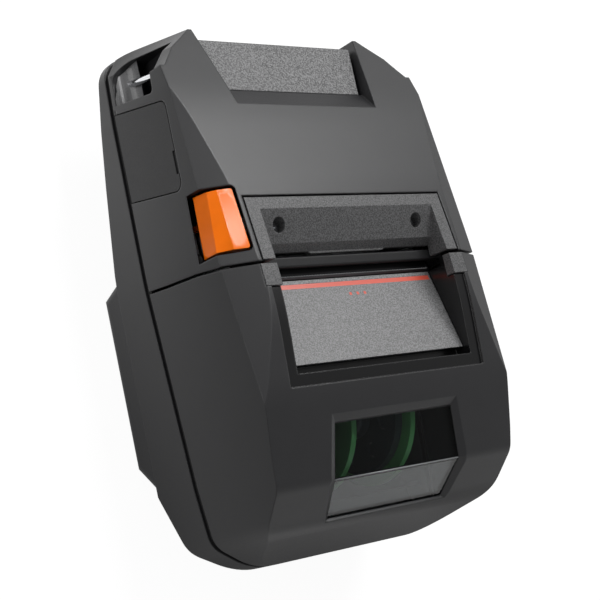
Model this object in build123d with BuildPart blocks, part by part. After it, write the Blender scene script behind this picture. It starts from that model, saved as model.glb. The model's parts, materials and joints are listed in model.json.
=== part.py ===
from build123d import *
import math
import os

# Portable label printer lying on its back: X to the right, +Y to the horn end, +Z out of the front.
# All sizes are millimetres. The origin is under the middle of the battery's resting face.

os.makedirs("parts", exist_ok=True)

# Plan outline: insets from the half width and stations along the length
LENGTH = 184.0
TOP_END = LENGTH / 2
TAIL_END = -LENGTH / 2
HALF_WIDTH = 58.0
HORN_CORNER_INSET = 1.4
SHOULDER_INSET = 0.4
SHOULDER_Y = TOP_END - 24.0
WAIST_Y = 8.0
HIP_INSET = 3.4
HIP_Y = TAIL_END + 30.0
TAIL_CORNER_INSET = 5.5
TAIL_CORNER_Y = TAIL_END + 10.0
TAIL_FLAT_INSET = 20.0
HORN_CORNER_RADIUS = 9.0
SHOULDER_RADIUS = 40.0
FLANK_RADIUS = 150.0
HIP_RADIUS = 60.0
TAIL_CORNER_RADIUS = 9.0
TAIL_FLAT_RADIUS = 25.0
FORM_END = TOP_END + 2.0
HORN_CORNER_X = HALF_WIDTH - HORN_CORNER_INSET
SHOULDER_X = HALF_WIDTH - SHOULDER_INSET
HIP_X = HALF_WIDTH - HIP_INSET
TAIL_CORNER_X = HALF_WIDTH - TAIL_CORNER_INSET
TAIL_FLAT_X = HALF_WIDTH - TAIL_FLAT_INSET

# Front profile seen from the side, as corners (Y, Z) and the radius that rounds each
HORN_TIP_Z = 63.2
BEVEL_TOP = (TOP_END - 31.0, 73.1)
BREAST = (30.0, 80.0)
SUMMIT = (-8.0, 85.7)
LOWER_FRONT = (TAIL_END + 50.0, 83.4)
FOLD = (TAIL_END + 22.0, 77.7)
CHIN = (TAIL_END + 8.8, 64.8)
HEEL_Z = 38.0
BEVEL_TOP_RADIUS = 200.0
BREAST_RADIUS = 200.0
SUMMIT_RADIUS = 120.0
LOWER_FRONT_RADIUS = 100.0
FOLD_RADIUS = 8.0
CHIN_RADIUS = 20.0

# Side facets as stations (Y, height of the side wall, inset and Z of the crease with the front)
HORN_FACETS = [
    (FORM_END, 60.5, 20.4, 62.6),
    (TOP_END - 13.0, 64.5, 14.4, 67.4),
    (TOP_END - 31.0, 67.4, 7.8, 72.6),
    (45.0, 67.8, 6.8, 75.8),
]
MIDDLE_FACETS = [
    (45.0, 67.8, 6.8, 75.8),
    (3.0, 67.2, 5.3, 81.0),
    (-28.0, 66.5, 6.3, 83.6),
]
TAIL_FACETS = [
    (-28.0, 66.5, 6.3, 83.6),
    (TAIL_END + 46.0, 65.6, 6.6, 82.0),
    (TAIL_END + 34.0, 64.6, 9.0, 79.8),
    (TAIL_END + 26.0, 63.6, 14.4, 78.2),
    (TAIL_END + 21.5, 64.2, 20.5, 76.9),
    (TAIL_END + 17.0, 66.4, 26.0, 73.6),
    (TAIL_END + 12.0, 69.0, 30.0, 71.5),
    (-FORM_END, 72.0, 34.0, 73.0),
]
# Corners of the bright facet below the bezel: inset, Y and Z
GLINT_TOP = (6.7, 45.0, 76.6)
GLINT_INNER = (12.0, 3.0, 84.1)
GLINT_OUTER = (5.3, 3.0, 80.9)
GLINT_BOTTOM = (6.3, -28.0, 83.7)

# Horn sides that lean in: station Y, inset at the low height and inset at the high height
HORN_LOW_Z = 36.0
HORN_HIGH_Z = 62.6
HORN_SIDES = [
    (TOP_END - 16.0, -0.5, 2.0),
    (TOP_END - 8.0, 0.6, 8.2),
    (TOP_END, 6.1, 19.0),
    (FORM_END, 7.5, 21.7),
]

# Walls, gaps and fits
WALL = 2.4
GAP_BOTTOM = 34.2
GAP_TOP = 36.6
SEAM_GAP = 1.0
SEAT_GAP = 0.15
PART_LINE = 0.7
RUN_GAP = 0.05
LOOSE_GAP = 0.3
FORM_TOP = 90.0
REACH = 120.0

# Seam between front shell and roll cover, as (Y, Z) from the gap line to the front
SEAM = [(6.5, 34.0), (5.6, 48.0), (4.6, 65.4), (3.2, 77.0), (2.9, 90.0)]

# Back shell underside (Y, Z) and its edge rounding
UNDERSIDE = [
    (FORM_END, 31.8),
    (48.0, 22.8),
    (17.5, 17.7),
    (TAIL_END + 31.0, 12.0),
    (TAIL_END + 10.0, 20.5),
    (-FORM_END, 27.5),
]
UNDERSIDE_EDGE_RADIUS = 4.0
FLOOR_THICKNESS = 4.2

# Battery pack
BATTERY_HALF_WIDTH = HALF_WIDTH - 3.8
BATTERY_TOP_Y = 20.0
BATTERY_END_Y = TAIL_END + 31.0
BATTERY_REST_TOP_Y = 13.0
BATTERY_REST_END_Y = TAIL_END + 42.0
BATTERY_POCKET = 2.2
BATTERY_RAIL_INSET = 4.0
BATTERY_RAIL_HALF_WIDTH = BATTERY_HALF_WIDTH - 9.2
BATTERY_RAIL_HEIGHT = 1.8
BATTERY_EDGE_RADIUS = 4.0
BATTERY_WALL = 1.8
CELL_SIDE_INSET = 4.2
CELL_SPACING = 2.0
CELL_WIDTH = (2 * (BATTERY_HALF_WIDTH - CELL_SIDE_INSET) - 2 * CELL_SPACING) / 3
CELL_X = CELL_WIDTH + CELL_SPACING
CELL_Y = (TAIL_END + 47.0, 7.0)
CELL_Z = (2.0, 9.6)
CONTACT_HALF_WIDTH = 10.0
CONTACT_Y = (-3.0, 3.0)
CONTACT_DROP = 1.0
CONTACT_RISE = 3.5
CONTACT_COUNT = 5
CONTACT_PITCH = 3.6
CONTACT_BLADE = 1.4
BATTERY_LATCH_HALF_WIDTH = 10.0
BATTERY_LATCH_Y = (TAIL_END + 29.6, TAIL_END + 36.0)
BATTERY_LATCH_Z = (7.4, 9.6)

# Cover hinge
HINGE_Y = TAIL_END + 2.0
HINGE_Z = 32.0
HINGE_PIN_RADIUS = 1.0
KNUCKLE_RADIUS = 2.0
KNUCKLE_X = 14.0
KNUCKLE_LENGTH = 11.4
KNUCKLE_SIDE_GAP = 0.3
LUG_REACH = 12.0
LUG_BELOW = 3.0
LUG_DEPTH = 4.4
HINGE_PIN_HALF_LENGTH = 24.0
PIN_SEAT = 0.02
GASKET_INSET = 1.2
GASKET_WIDTH = 1.8
GASKET_HEIGHT = GAP_TOP - GAP_BOTTOM - 0.4

# Platen, gears and drive
PLATEN_Y = -5.5
PLATEN_Z = 62.0
PLATEN_RADIUS = 5.5
PLATEN_SHAFT_RADIUS = 2.5
BUSH_RADIUS = 4.0
CHEEK_X = HALF_WIDTH - 16.0
CHEEK_THICKNESS = 2.5
CHEEK_SIDE_GAP = 1.5
PLATEN_HALF_LENGTH = CHEEK_X - CHEEK_SIDE_GAP
CHEEK_BOTTOM_Z = 55.5
CHEEK_Y = (-12.0, -1.6)
CROSS_PLATE_THICKNESS = 1.5
PLATEN_SEAT = 0.02
GEAR_MODULE = 0.6
PLATEN_TEETH = 20
IDLER_TEETH = 24
PINION_TEETH = 12
CHASSIS_X = HALF_WIDTH - 10.0
CHASSIS_THICKNESS = 1.4
GEAR_SIDE_GAP = 0.6
GEAR_X = CHASSIS_X + CHASSIS_THICKNESS + GEAR_SIDE_GAP
GEAR_WIDTH = 2.2
SHAFT_OVERHANG = 0.4
PLATEN_SHAFT_LEFT = -CHEEK_X - CHEEK_THICKNESS - 1.9
PLATEN_SHAFT_RIGHT = GEAR_X + GEAR_WIDTH + SHAFT_OVERHANG
IDLER_AXLE_RADIUS = 1.5
MOTOR_ANGLE = -35.0
MOTOR_RADIUS = 7.5
MOTOR_LENGTH = 20.0
MOTOR_SHAFT_RADIUS = 1.2
MOTOR_SHAFT_SINK = 4.0

# Chassis
CHASSIS_FRONT_Y = 1.8
CHASSIS_BACK_Y = 24.0
BRIDGE_Z = 62.4
BRIDGE_THICKNESS = 1.4
BRIDGE_LOW_Y = 13.5
CHASSIS_HORN_Z = 72.6
BASE_PLATE_Z = 32.5
BASE_PLATE_THICKNESS = 1.8

# Print head
HEAD_GAP = 0.3
HEAD_HALF_LENGTH = PLATEN_HALF_LENGTH - 0.5
CERAMIC_THICKNESS = 1.0
HEATSINK_THICKNESS = 3.2
HEAD_BOTTOM_Z = 52.0
CERAMIC_BOTTOM_Z = 56.0
HEAD_TOP_Z = 70.5
HEAD_PIVOT_Y = 3.0
HEAD_PIVOT_Z = 53.4
HEAD_PIVOT_RADIUS = 1.0
SPRING_PLATE_Y = 7.4
SPRING_PLATE_THICKNESS = 1.0
SPRING_PLATE_X = CHASSIS_X - 3.5
SPRING_PLATE_TOP_Z = 66.0
SPRING_STRIP_Z = (51.2, 53.8)
HEAD_SPRING_X = 22.0
HEAD_SPRING_Z = 63.5
HEAD_SPRING_SEAT = 1.0
HEAD_SPRING_REAR_GAP = 0.35
HEAD_SPRING_RADIUS = 2.4
HEAD_SPRING_WIRE = 0.35
HEAD_SPRING_TURNS = 3

# Latch and release lever
LATCH_Y = 11.0
LATCH_Z = 57.0
LATCH_SHAFT_RADIUS = 1.5
HOOK_X = CHASSIS_X - 2.4
HOOK_THICKNESS = 1.8
LATCH_HUB_RADIUS = 3.0
LATCH_RIGHT_END = CHASSIS_X + 2.0
CRANK_X = (4.8 - HALF_WIDTH, 8.0 - HALF_WIDTH)
CRANK_GAP = 0.2
LATCH_SPRING_X = 4.5 - CHASSIS_X
LATCH_SPRING_RADIUS = 2.0
LATCH_SPRING_WIRE = 0.35
LATCH_SPRING_LENGTH = 5.0
LATCH_SPRING_TURNS = 5
FINGER_X = (5.0 - HALF_WIDTH, 6.6 - HALF_WIDTH)
FINGER_Y = 20.5
FINGER_Z = 59.5
FINGER_RADIUS = 1.0
FINGER_TOP_Z = 68.0
LEVER_LOW_Y = 8.0
LEVER_HIGH_Y = 29.0
# Lever's face at its two ends, from the outer edge to the inner one: inset and Z
LEVER_LOW_FACE = [(1.2, 69.6), (0.7, 77.4), (5.0, 81.0), (10.6, 82.6)]
LEVER_HIGH_FACE = [(1.6, 69.8), (3.1, 75.6), (5.6, 77.8), (10.4, 79.6)]
LEVER_PUSH = (0.6, -0.8)
LEVER_DEPTH = 6.0
LEVER_GAP = 1.0
LEVER_OUTER_GAP = 1.9
LEVER_CORNER_RADIUS = 0.8
LEVER_POCKET_RADIUS = 1.7

# Valley, bezel and label exit
BEZEL_HALF_WIDTH = HALF_WIDTH - 13.7
BEZEL_TOP_Y = 25.4
BEZEL_LOW_Y = 3.5
BEZEL_FACE_TOP_Y = 21.2
BEZEL_RAIL_X = HALF_WIDTH - 18.8
FACE_LOW = (10.0, 77.8)
LIP_LOW = (7.6, 75.0)
LIP_BOTTOM_Z = 72.0
VALLEY_FLOOR_Z = 68.0
BEZEL_SHEET = 2.2
SCREW_X = BEZEL_RAIL_X - 7.8
SCREW_Y = 16.0
SCREW_WELL_RADIUS = 2.6
SCREW_BOSS_RADIUS = 4.2
SCREW_SEAT_Z = 74.5
SCREW_SEAT_THICKNESS = 1.5
SCREW_HEAD_HEIGHT = 1.6
SCREW_HEAD_RADIUS = 2.3
SCREW_SHANK_RADIUS = 1.25
SCREW_TIP_Z = 61.5
SCREW_POST_RADIUS = 3.0
TONGUE_TOP_X = 17.9
TONGUE_LOW_X = 16.4
TONGUE_Y = 6.9
EXIT_LIP_Y = 2.5
EXIT_LIP_DEPTH = 3.8
EXIT_LIP_Z = 72.6
EXIT_LIP_THICKNESS = 2.0

# Cover recess, ramp and tabs
RECESS_HALF_WIDTH = HALF_WIDTH - 13.8
RECESS_END_Y = -38.9
RECESS_STEP = 0.9
RAMP_WELL_X = HALF_WIDTH - 18.2
RAMP_WELL_END_Y = -34.6
RAMP_TOP = (-1.4, 71.5)
RAMP_END = (-31.5, 80.0)
RAMP_THICKNESS = 1.6
RAMP_CURB = 2.2
STRIPE_WIDTH = 1.7
STRIPE_DEPTH = 0.4
STRIPE_FROM_TOP = 1.5
STRIPE_HALF_LENGTH = RAMP_WELL_X - 1.0
DOT_SIZE = 1.1
DOT_SPACING = 3.3
DOT_CENTRE_X = 2.1
DOT_FROM_TOP = 6.5
DOT_DEPTH = 0.3
TAB_FLOOR = 2.4
DEEP_SKIN = 3.4
TAB_INNER_X = BEZEL_RAIL_X + 0.2
TAB_OUTER_X = HALF_WIDTH - 12.0
TAB_END_Y = -5.5
TAB_DEPTH = 4.5
WELL_FRONT_Y = -1.2
WELL_FLOOR = 2.1
WELL_SIDE = 4.0
TEAR_BAR_TOP_Z = 72.3
TEAR_BAR_THICKNESS = 0.8
TEAR_BAR_HALF_LENGTH = BEZEL_RAIL_X - 0.3
TEAR_BAR_DEPTH = 4.0

# Cover window
GLASS_TOP = (TAIL_END + 42.5, 80.3)
GLASS_FOLD = (TAIL_END + 22.5, 76.0)
GLASS_LOW = (TAIL_END + 8.8, 62.4)
GLASS_THICKNESS = 1.6
GLASS_HALF_WIDTH = 30.0
SIGHT_TOP = (26.3, TAIL_END + 40.0)
SIGHT_FOLD = (28.2, TAIL_END + 22.5)
SIGHT_LOW = (25.8, TAIL_END + 11.4)
RIM_TOP = (28.6, TAIL_END + 43.3)
RIM_FOLD = (31.3, TAIL_END + 22.5)
RIM_LOW = (28.2, TAIL_END + 9.7)

# Rear plate between the horns
CHANNEL_NEAR_X = HALF_WIDTH - 26.3
CHANNEL_FAR_X = HALF_WIDTH - 20.6
CHANNEL_WALL = 2.2
PLATE_SIDE_GAP = 1.6
PLATE_START = (TOP_END - 23.1, 65.9)
PLATE_END = (TOP_END - 3.4, 62.3)
PLATE_THICKNESS = 2.2
CHANNEL_FLOOR_Z = 58.0

# Strap pockets in the horns, with their stations at the lowest height and their lean
STRAP_LOW_Y = TOP_END - 19.1
STRAP_HIGH_Y = TOP_END - 4.7
STRAP_LOW_Z = 38.6
STRAP_HIGH_Z = 61.6
STRAP_BEND = 7.0
STRAP_CORNER = 1.6
STRAP_LEAN = -0.18
STRAP_DEPTH = 13.5
STRAP_DEPTH_X = HALF_WIDTH - STRAP_DEPTH
STRAP_WALL = 2.0
STRAP_BAR_X = HALF_WIDTH - 7.0
STRAP_BAR_Y = TOP_END - 11.4
STRAP_BAR_RADIUS = 1.2
STRAP_BAR_SINK = 1.3

# Socket flap in the left side
FLAP_TOP_Y = TOP_END - 22.2
FLAP_TOP_FAR_Y = TOP_END - 28.2
FLAP_LOW_Y = TOP_END - 53.8
FLAP_LOW_FAR_Y = TOP_END - 59.2
FLAP_FAR_Z = 67.0
FLAP_THICKNESS = 1.7
FLAP_CORNER_RADIUS = 3.0
FLAP_GAP = 0.4
FLAP_NOTCH_Y = TOP_END - 49.5
FLAP_NOTCH_DEPTH = 1.2
FLAP_NOTCH_SINK = 0.9
PORT_PAD_X = HALF_WIDTH - 6.4
PORT_WELL = (TOP_END - 51.0, TOP_END - 30.5)
PORT_WELL_LOW_Z = 38.5
PORT_WELL_TOP_Z = 58.0
FLAP_AXIS_X = 1.0 - HALF_WIDTH
FLAP_AXIS_Z = GAP_TOP + 1.0
FLAP_PIN_RADIUS = 0.45
FLAP_PIN_LENGTH = 1.2

# Boards, sockets and buttons
BOARD_Z = 39.0
BOARD_THICKNESS = 1.6
BOARD_LOW_Y = 27.0
BOARD_HIGH_Y = TOP_END - 28.0
BOARD_LEFT_X = 7.6 - HALF_WIDTH
BOARD_RIGHT_X = HALF_WIDTH - 14.0
BOARD_POST_RADIUS = 3.0
# Blocks on the main board: X, distance from the board's low edge, width, length and height
BOARD_BLOCKS = [(-12.0, 13.0, 14.0, 14.0, 1.4), (12.0, 7.0, 10.0, 8.0, 1.0), (14.0, 23.0, 20.0, 7.0, 4.5)]
SOCKET_MOUTH_X = 3.4 - HALF_WIDTH
USB_Y = TOP_END - 37.5
USB_WIDTH = 9.0
USB_HEIGHT = 3.4
USB_LENGTH = 7.6
USB_WALL = 0.45
DC_Y = TOP_END - 46.4
DC_WIDTH = 7.0
DC_HEIGHT = 8.0
DC_LENGTH = 10.0
DC_BORE_RADIUS = 2.75
BUTTON_Z = 50.0
BUTTON_RADIUS = 4.4
BUTTON_YS = {
    "feed_button": TOP_END - 52.0,
    "wireless_button": TOP_END - 41.0,
    "power_button": TOP_END - 30.0,
}
BUTTON_FLANGE = 1.0
BUTTON_FLANGE_THICKNESS = 1.2
BUTTON_FLANGE_X = HALF_WIDTH - 4.2
BUTTON_CAP_X = HALF_WIDTH - 0.05
BUTTON_BOARD_X = HALF_WIDTH - 7.0
BUTTON_BOARD_THICKNESS = 1.4
BUTTON_BOARD_END = 4.0
BUTTON_BOARD_SIDE = 2.5
BUTTON_PEGS = (TOP_END - 46.5, TOP_END - 35.5)
DOME_HEIGHT = 0.5
DOME_RADIUS = 2.5
LIGHT_Z = 59.0
LIGHT_RADIUS = 0.9
LIGHT_CAP_X = HALF_WIDTH - 0.3
NFC_Z = 69.0
NFC_HALF_WIDTH = 18.0
NFC_LOW_Y = 32.0
NFC_HIGH_Y = TOP_END - 38.0
NFC_THICKNESS = 0.8
NFC_POST_X = 15.0

# Roll bay
CRADLE_Z = 22.4
CRADLE_THICKNESS = 1.4
CRADLE_HALF_WIDTH = HALF_WIDTH - 11.0
CRADLE_LOW_Y = TAIL_END + 18.0
CRADLE_HIGH_Y = -12.0
ROLL_Y = -46.0
ROLL_Z = 48.5
GUIDE_FACE_X = 12.5
GUIDE_THICKNESS = 2.2
GUIDE_RADIUS = 26.0
GUIDE_FOOT_LENGTH = 7.0
GUIDE_FOOT_HALF_WIDTH = 12.0
GUIDE_FOOT_HEIGHT = 3.4
HUB_DISC_RADIUS = 22.0
HUB_DISC_THICKNESS = 3.2
HUB_CONE_RADIUS = 9.2
HUB_CONE_LENGTH = 5.4
HUB_AXLE_RADIUS = 3.0
RACK_TEETH = 20
RACK_HEIGHT = 2.0
RACK_BAR = 2.4
GUIDE_PINION_TEETH = 14
GUIDE_PINION_POST_RADIUS = 1.5
RACK_LIFT = 0.2
RACK_LEAD_TEETH = 2
CRADLE_WALL_TOP_Z = 33.0
GUIDE_RIB_Y = 8.0
GUIDE_RIB_HEIGHT = 16.0
HUB_SIDE_GAP = 0.2
HUB_HOLE_COUNT = 8
HUB_HOLE_CIRCLE = 15.5
HUB_HOLE_RADIUS = 2.6

# Case screws from the back
LOW_SCREW_X = HALF_WIDTH - 9.0
HORN_SCREW_X = HALF_WIDTH - 18.0
LOW_SCREW_Y = 30.5
HORN_SCREW_Y = TOP_END - 15.0
CASE_SCREWS = [
    (-LOW_SCREW_X, LOW_SCREW_Y),
    (LOW_SCREW_X, LOW_SCREW_Y),
    (-HORN_SCREW_X, HORN_SCREW_Y),
    (HORN_SCREW_X, HORN_SCREW_Y),
]
CASE_SCREW_BOSS_RADIUS = 4.0
CASE_SCREW_HEAD_RADIUS = 2.6
CASE_SCREW_SHANK_RADIUS = 1.4
CASE_SCREW_HEAD_DEPTH = 2.4
CASE_SCREW_SINK = 0.8
CASE_SCREW_TOP_Z = 45.0
SCREW_DRIVE_RADIUS = 1.1
FRONT_BOSS_RADIUS = 3.6
FRONT_BOSS_TOP_Z = 48.0

# Posts on the back shell's floor
BOARD_POST_X = 30.0
BOARD_POSTS = [
    (-BOARD_POST_X, BOARD_LOW_Y + 5.0),
    (BOARD_POST_X, BOARD_LOW_Y + 5.0),
    (-BOARD_POST_X, BOARD_HIGH_Y - 4.0),
    (BOARD_POST_X, BOARD_HIGH_Y - 4.0),
]
FRAME_POST_X = CHASSIS_X - 8.0
FRAME_SCREWS = [(-FRAME_POST_X, 20.0), (FRAME_POST_X, 20.0)]
FRAME_POSTS = FRAME_SCREWS + [(-FRAME_POST_X, 8.0), (FRAME_POST_X, 8.0)]
FRAME_POST_RADIUS = 3.2
FRAME_SCREW_LENGTH = 7.0
FRAME_SCREW_HEAD_HEIGHT = 1.4
CRADLE_POST_X = CRADLE_HALF_WIDTH - 7.0
CRADLE_POST_INSET = 5.0
CRADLE_POST_RADIUS = 3.0


def export(piece, name):
    """Label a finished piece and write it as one STEP file."""
    piece.part.label = name
    export_step(piece.part, f"parts/{name}.step")


def join(*bodies):
    """Add finished bodies to the part being built."""
    for body in bodies:
        add(body)


def cut(*bodies):
    """Take finished bodies away from the part being built."""
    for body in bodies:
        add(body, mode=Mode.SUBTRACT)


def keep_within(*bodies):
    """Keep only what lies inside each finished body."""
    for body in bodies:
        add(body, mode=Mode.INTERSECT)


def outline_face(points, plane=Plane.YZ):
    """Closed straight-sided face through (first, second) coordinates of a plane."""
    with BuildSketch(plane) as face:
        with BuildLine():
            Polyline(*points, close=True)
        make_face()
    return face.sketch


def side_prism(points, half_width, centre_x=0.0):
    """Block with a side outline in Y and Z, spread both ways along X from centre_x."""
    start = Plane.YZ.offset(centre_x - half_width)
    with BuildPart() as block:
        extrude(outline_face(points, start), amount=2 * half_width, dir=(1, 0, 0))
    return block.part


def box_between(low, high):
    """Plain block between two corners."""
    size = [b - a for a, b in zip(low, high)]
    middle = tuple((a + b) / 2 for a, b in zip(low, high))
    with BuildPart() as block:
        with Locations(middle):
            Box(*size)
    return block.part


def plan_face(inset):
    """Plan outline of the printer, drawn in by inset."""
    end = LENGTH / 2
    corners = [
        ((HORN_CORNER_X, end), HORN_CORNER_RADIUS),
        ((SHOULDER_X, SHOULDER_Y), SHOULDER_RADIUS),
        ((HALF_WIDTH, WAIST_Y), FLANK_RADIUS),
        ((HIP_X, HIP_Y), HIP_RADIUS),
        ((TAIL_CORNER_X, TAIL_CORNER_Y), TAIL_CORNER_RADIUS),
        ((TAIL_FLAT_X, -end), TAIL_FLAT_RADIUS),
    ]
    with BuildSketch(Plane.XY) as plan:
        right = [point for point, radius in corners]
        left = [(-x, y) for x, y in reversed(right)]
        with BuildLine():
            Polyline(*right, *left, close=True)
        make_face()
        for (x, y), radius in corners:
            near = [v for v in plan.vertices() if abs(abs(v.X) - x) < 0.01 and abs(v.Y - y) < 0.01]
            fillet(near, radius=radius)
        if inset:
            offset(amount=-inset)
    return plan.sketch


def side_face(inset):
    """Side outline with the front profile on top, drawn in by inset."""
    end = LENGTH / 2
    beyond = 2.0
    horn_slope = (HORN_TIP_Z - BEVEL_TOP[1]) / (end - BEVEL_TOP[0])
    heel_slope = (CHIN[0] + end) / (CHIN[1] - HEEL_Z)
    horn_end = end * beyond
    low_end = -end * beyond
    corners = [
        (BEVEL_TOP, BEVEL_TOP_RADIUS),
        (BREAST, BREAST_RADIUS),
        (SUMMIT, SUMMIT_RADIUS),
        (LOWER_FRONT, LOWER_FRONT_RADIUS),
        (FOLD, FOLD_RADIUS),
        (CHIN, CHIN_RADIUS),
    ]
    with BuildSketch(Plane.YZ.offset(-REACH)) as side:
        with BuildLine():
            Polyline(
                (horn_end, -20),
                (horn_end, HORN_TIP_Z + horn_slope * (horn_end - end)),
                *[point for point, radius in corners],
                (low_end, HEEL_Z + (low_end + end) / heel_slope),
                close=True,
            )
        make_face()
        for (y, z), radius in corners:
            near = [v for v in side.vertices() if abs(v.X - y) < 0.01 and abs(v.Y - z) < 0.01]
            fillet(near, radius=radius)
        if inset:
            offset(amount=-inset)
    return side.sketch


def facet_band(stations, inset, straight):
    """Material outside one run of the right side's facets, straight or flowing from station to station."""
    with BuildPart() as band:
        for y, wall_z, crease_inset, crease_z in stations:
            crease_x = HALF_WIDTH - crease_inset
            rise_x = -crease_inset
            rise_z = crease_z - wall_z
            run = min((FORM_TOP + 20 - crease_z) / rise_z, -crease_x / rise_x)
            low = (HALF_WIDTH - 0.7 * rise_x - inset, wall_z - 0.7 * rise_z)
            high = (crease_x + run * rise_x - inset, crease_z + run * rise_z)
            with BuildSketch(Plane.XZ.offset(-y)):
                with BuildLine():
                    Polyline(low, high, (high[0], REACH), (REACH, REACH), (REACH, low[1]), close=True)
                make_face()
        loft(ruled=straight)
    return band.part


def facet_cutter(inset):
    """Material outside the side facets: one body on the right and its mirror image."""
    with BuildPart() as cutter:
        join(facet_band(HORN_FACETS, inset, False))
        join(facet_band(MIDDLE_FACETS, inset, True))
        join(facet_band(TAIL_FACETS, inset, False))
        mirror(about=Plane.YZ)
    return cutter.part


def horn_cutter(inset):
    """Material outside the leaning horn sides, as one ruled body on the right and its mirror image."""
    with BuildPart() as cutter:
        for y, low_inset, high_inset in HORN_SIDES:
            lean = (low_inset - high_inset) / (HORN_HIGH_Z - HORN_LOW_Z)
            low_x = HALF_WIDTH - low_inset - inset
            foot = (low_x - lean * (HORN_LOW_Z + 20), -20.0)
            head = (low_x + lean * (FORM_TOP + 20 - HORN_LOW_Z), FORM_TOP + 20)
            with BuildSketch(Plane.XZ.offset(-y)):
                with BuildLine():
                    Polyline(foot, head, (REACH, head[1]), (REACH, foot[1]), close=True)
                make_face()
        loft(ruled=True)
        mirror(about=Plane.YZ)
    return cutter.part


def plane_through(a, b, c, inset):
    """Plane through three points with its normal outwards and up, moved in by inset."""
    normal = (Vector(*b) - Vector(*a)).cross(Vector(*c) - Vector(*a))
    if normal.Z < 0:
        normal = normal * -1
    normal = normal.normalized()
    return Plane(origin=Vector(*a) - normal * inset, z_dir=normal)


def outer_form(inset):
    """The printer's whole outer form, drawn in by inset."""
    with BuildPart() as profile:
        extrude(side_face(inset), amount=2 * REACH, dir=(1, 0, 0))
    with BuildPart() as form:
        extrude(plan_face(inset), amount=FORM_TOP, dir=(0, 0, 1))
        add(profile.part, mode=Mode.INTERSECT)
        add(facet_cutter(inset), mode=Mode.SUBTRACT)
        add(horn_cutter(inset), mode=Mode.SUBTRACT)
        for sign in (1, -1):
            near = (sign * (HALF_WIDTH - GLINT_INNER[0]), GLINT_INNER[1], GLINT_INNER[2])
            far = (sign * (HALF_WIDTH - GLINT_OUTER[0]), GLINT_OUTER[1], GLINT_OUTER[2])
            for edge_inset, y, z in (GLINT_TOP, GLINT_BOTTOM):
                apex = (sign * (HALF_WIDTH - edge_inset), y, z)
                split(bisect_by=plane_through(apex, near, far, inset), keep=Keep.BOTTOM)
    return form.part


def spur_gear(plane, teeth, width, phase, bore):
    """Gear with straight-sided teeth on a plane; phase is the direction of one tooth in degrees."""
    pitch = GEAR_MODULE * teeth / 2
    root = pitch - GEAR_MODULE
    tip = pitch + 0.8 * GEAR_MODULE
    with BuildPart() as gear:
        with BuildSketch(plane):
            Circle(root)
            with PolarLocations(0, teeth, start_angle=phase):
                tooth(root - 0.3, tip)
            Circle(bore, mode=Mode.SUBTRACT)
        extrude(amount=width)
    return gear.part


def tooth(root, tip):
    """One tooth along +X of the current place, from root to tip."""
    foot = 0.86 * GEAR_MODULE
    crest = 0.34 * GEAR_MODULE
    Polygon((root, -foot), (tip, -crest), (tip, crest), (root, foot), align=None)


def coil(plane, radius, wire, height, turns):
    """Open coil spring that stands on a plane."""
    with BuildPart() as spring:
        with BuildLine():
            turn = Helix(pitch=(height - 2 * wire) / turns, height=height - 2 * wire, radius=radius)
        with BuildSketch(Plane(origin=turn @ 0, z_dir=turn % 0)):
            Circle(wire)
        sweep()
    return spring.part.moved(Location((0, 0, wire))).moved(plane.location)


outer = outer_form(0)
inner = outer_form(WALL)

front_seam = SEAM + [(REACH, 90.0), (REACH, GAP_TOP), (SEAM[0][0], GAP_TOP)]
cover_seam = [(y - SEAM_GAP, z) for y, z in SEAM] + [(-REACH, 90.0), (-REACH, GAP_TOP)]
cover_seam = cover_seam + [(SEAM[0][0] - SEAM_GAP, GAP_TOP)]
front_region = side_prism([p for p in front_seam if p[1] >= GAP_TOP], REACH)
cover_region = side_prism([p for p in cover_seam if p[1] >= GAP_TOP], REACH)


def channel_prism(clearance, low_z):
    """The space between the horns as a block above low_z, wider by clearance."""
    far_y = LENGTH / 2 + 1
    points = [
        (CHANNEL_NEAR_X + clearance, BEVEL_TOP[0] - clearance),
        (CHANNEL_FAR_X + clearance, far_y),
        (-CHANNEL_FAR_X - clearance, far_y),
        (-CHANNEL_NEAR_X - clearance, BEVEL_TOP[0] - clearance),
    ]
    with BuildPart() as block:
        extrude(outline_face(points, Plane.XY.offset(low_z)), amount=FORM_TOP - low_z, dir=(0, 0, 1))
    return block.part


def strap_y(y, z):
    """Station at height z of a leaning line that passes y at the pocket's lowest height."""
    return y + STRAP_LEAN * (z - STRAP_LOW_Z)


def strap_block(sign, grow, mouth):
    """Block round or inside a strap pocket; mouth is the outer X that it reaches."""
    low_x = STRAP_DEPTH_X - grow
    low_z = STRAP_LOW_Z - grow
    high_z = STRAP_HIGH_Z + grow
    with BuildPart() as block:
        with BuildSketch(Plane.YZ.offset(min(sign * low_x, sign * mouth))) as side:
            with BuildLine():
                Polyline(
                    (strap_y(STRAP_LOW_Y, low_z) - grow, low_z),
                    (strap_y(STRAP_LOW_Y, high_z) - grow, high_z),
                    (STRAP_HIGH_Y + grow, high_z),
                    (STRAP_HIGH_Y + grow, low_z),
                    close=True,
                )
            make_face()
            bend = side.vertices().group_by(Axis.X)[-1].sort_by(Axis.Y)[0]
            fillet(bend, radius=STRAP_BEND + grow)
            fillet(side.vertices().group_by(Axis.X)[0], radius=STRAP_CORNER)
        extrude(amount=mouth - low_x, dir=(1, 0, 0))
    return block.part


def strap_bar(sign, radius, gap):
    """Leaning bar across one strap pocket, let into its two ends."""
    x = sign * STRAP_BAR_X
    low_z = STRAP_LOW_Z - STRAP_BAR_SINK - gap
    high_z = STRAP_HIGH_Z + STRAP_BAR_SINK + gap
    start = (x, strap_y(STRAP_BAR_Y, low_z), low_z)
    return rod(start, (x, strap_y(STRAP_BAR_Y, high_z), high_z), radius)


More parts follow.
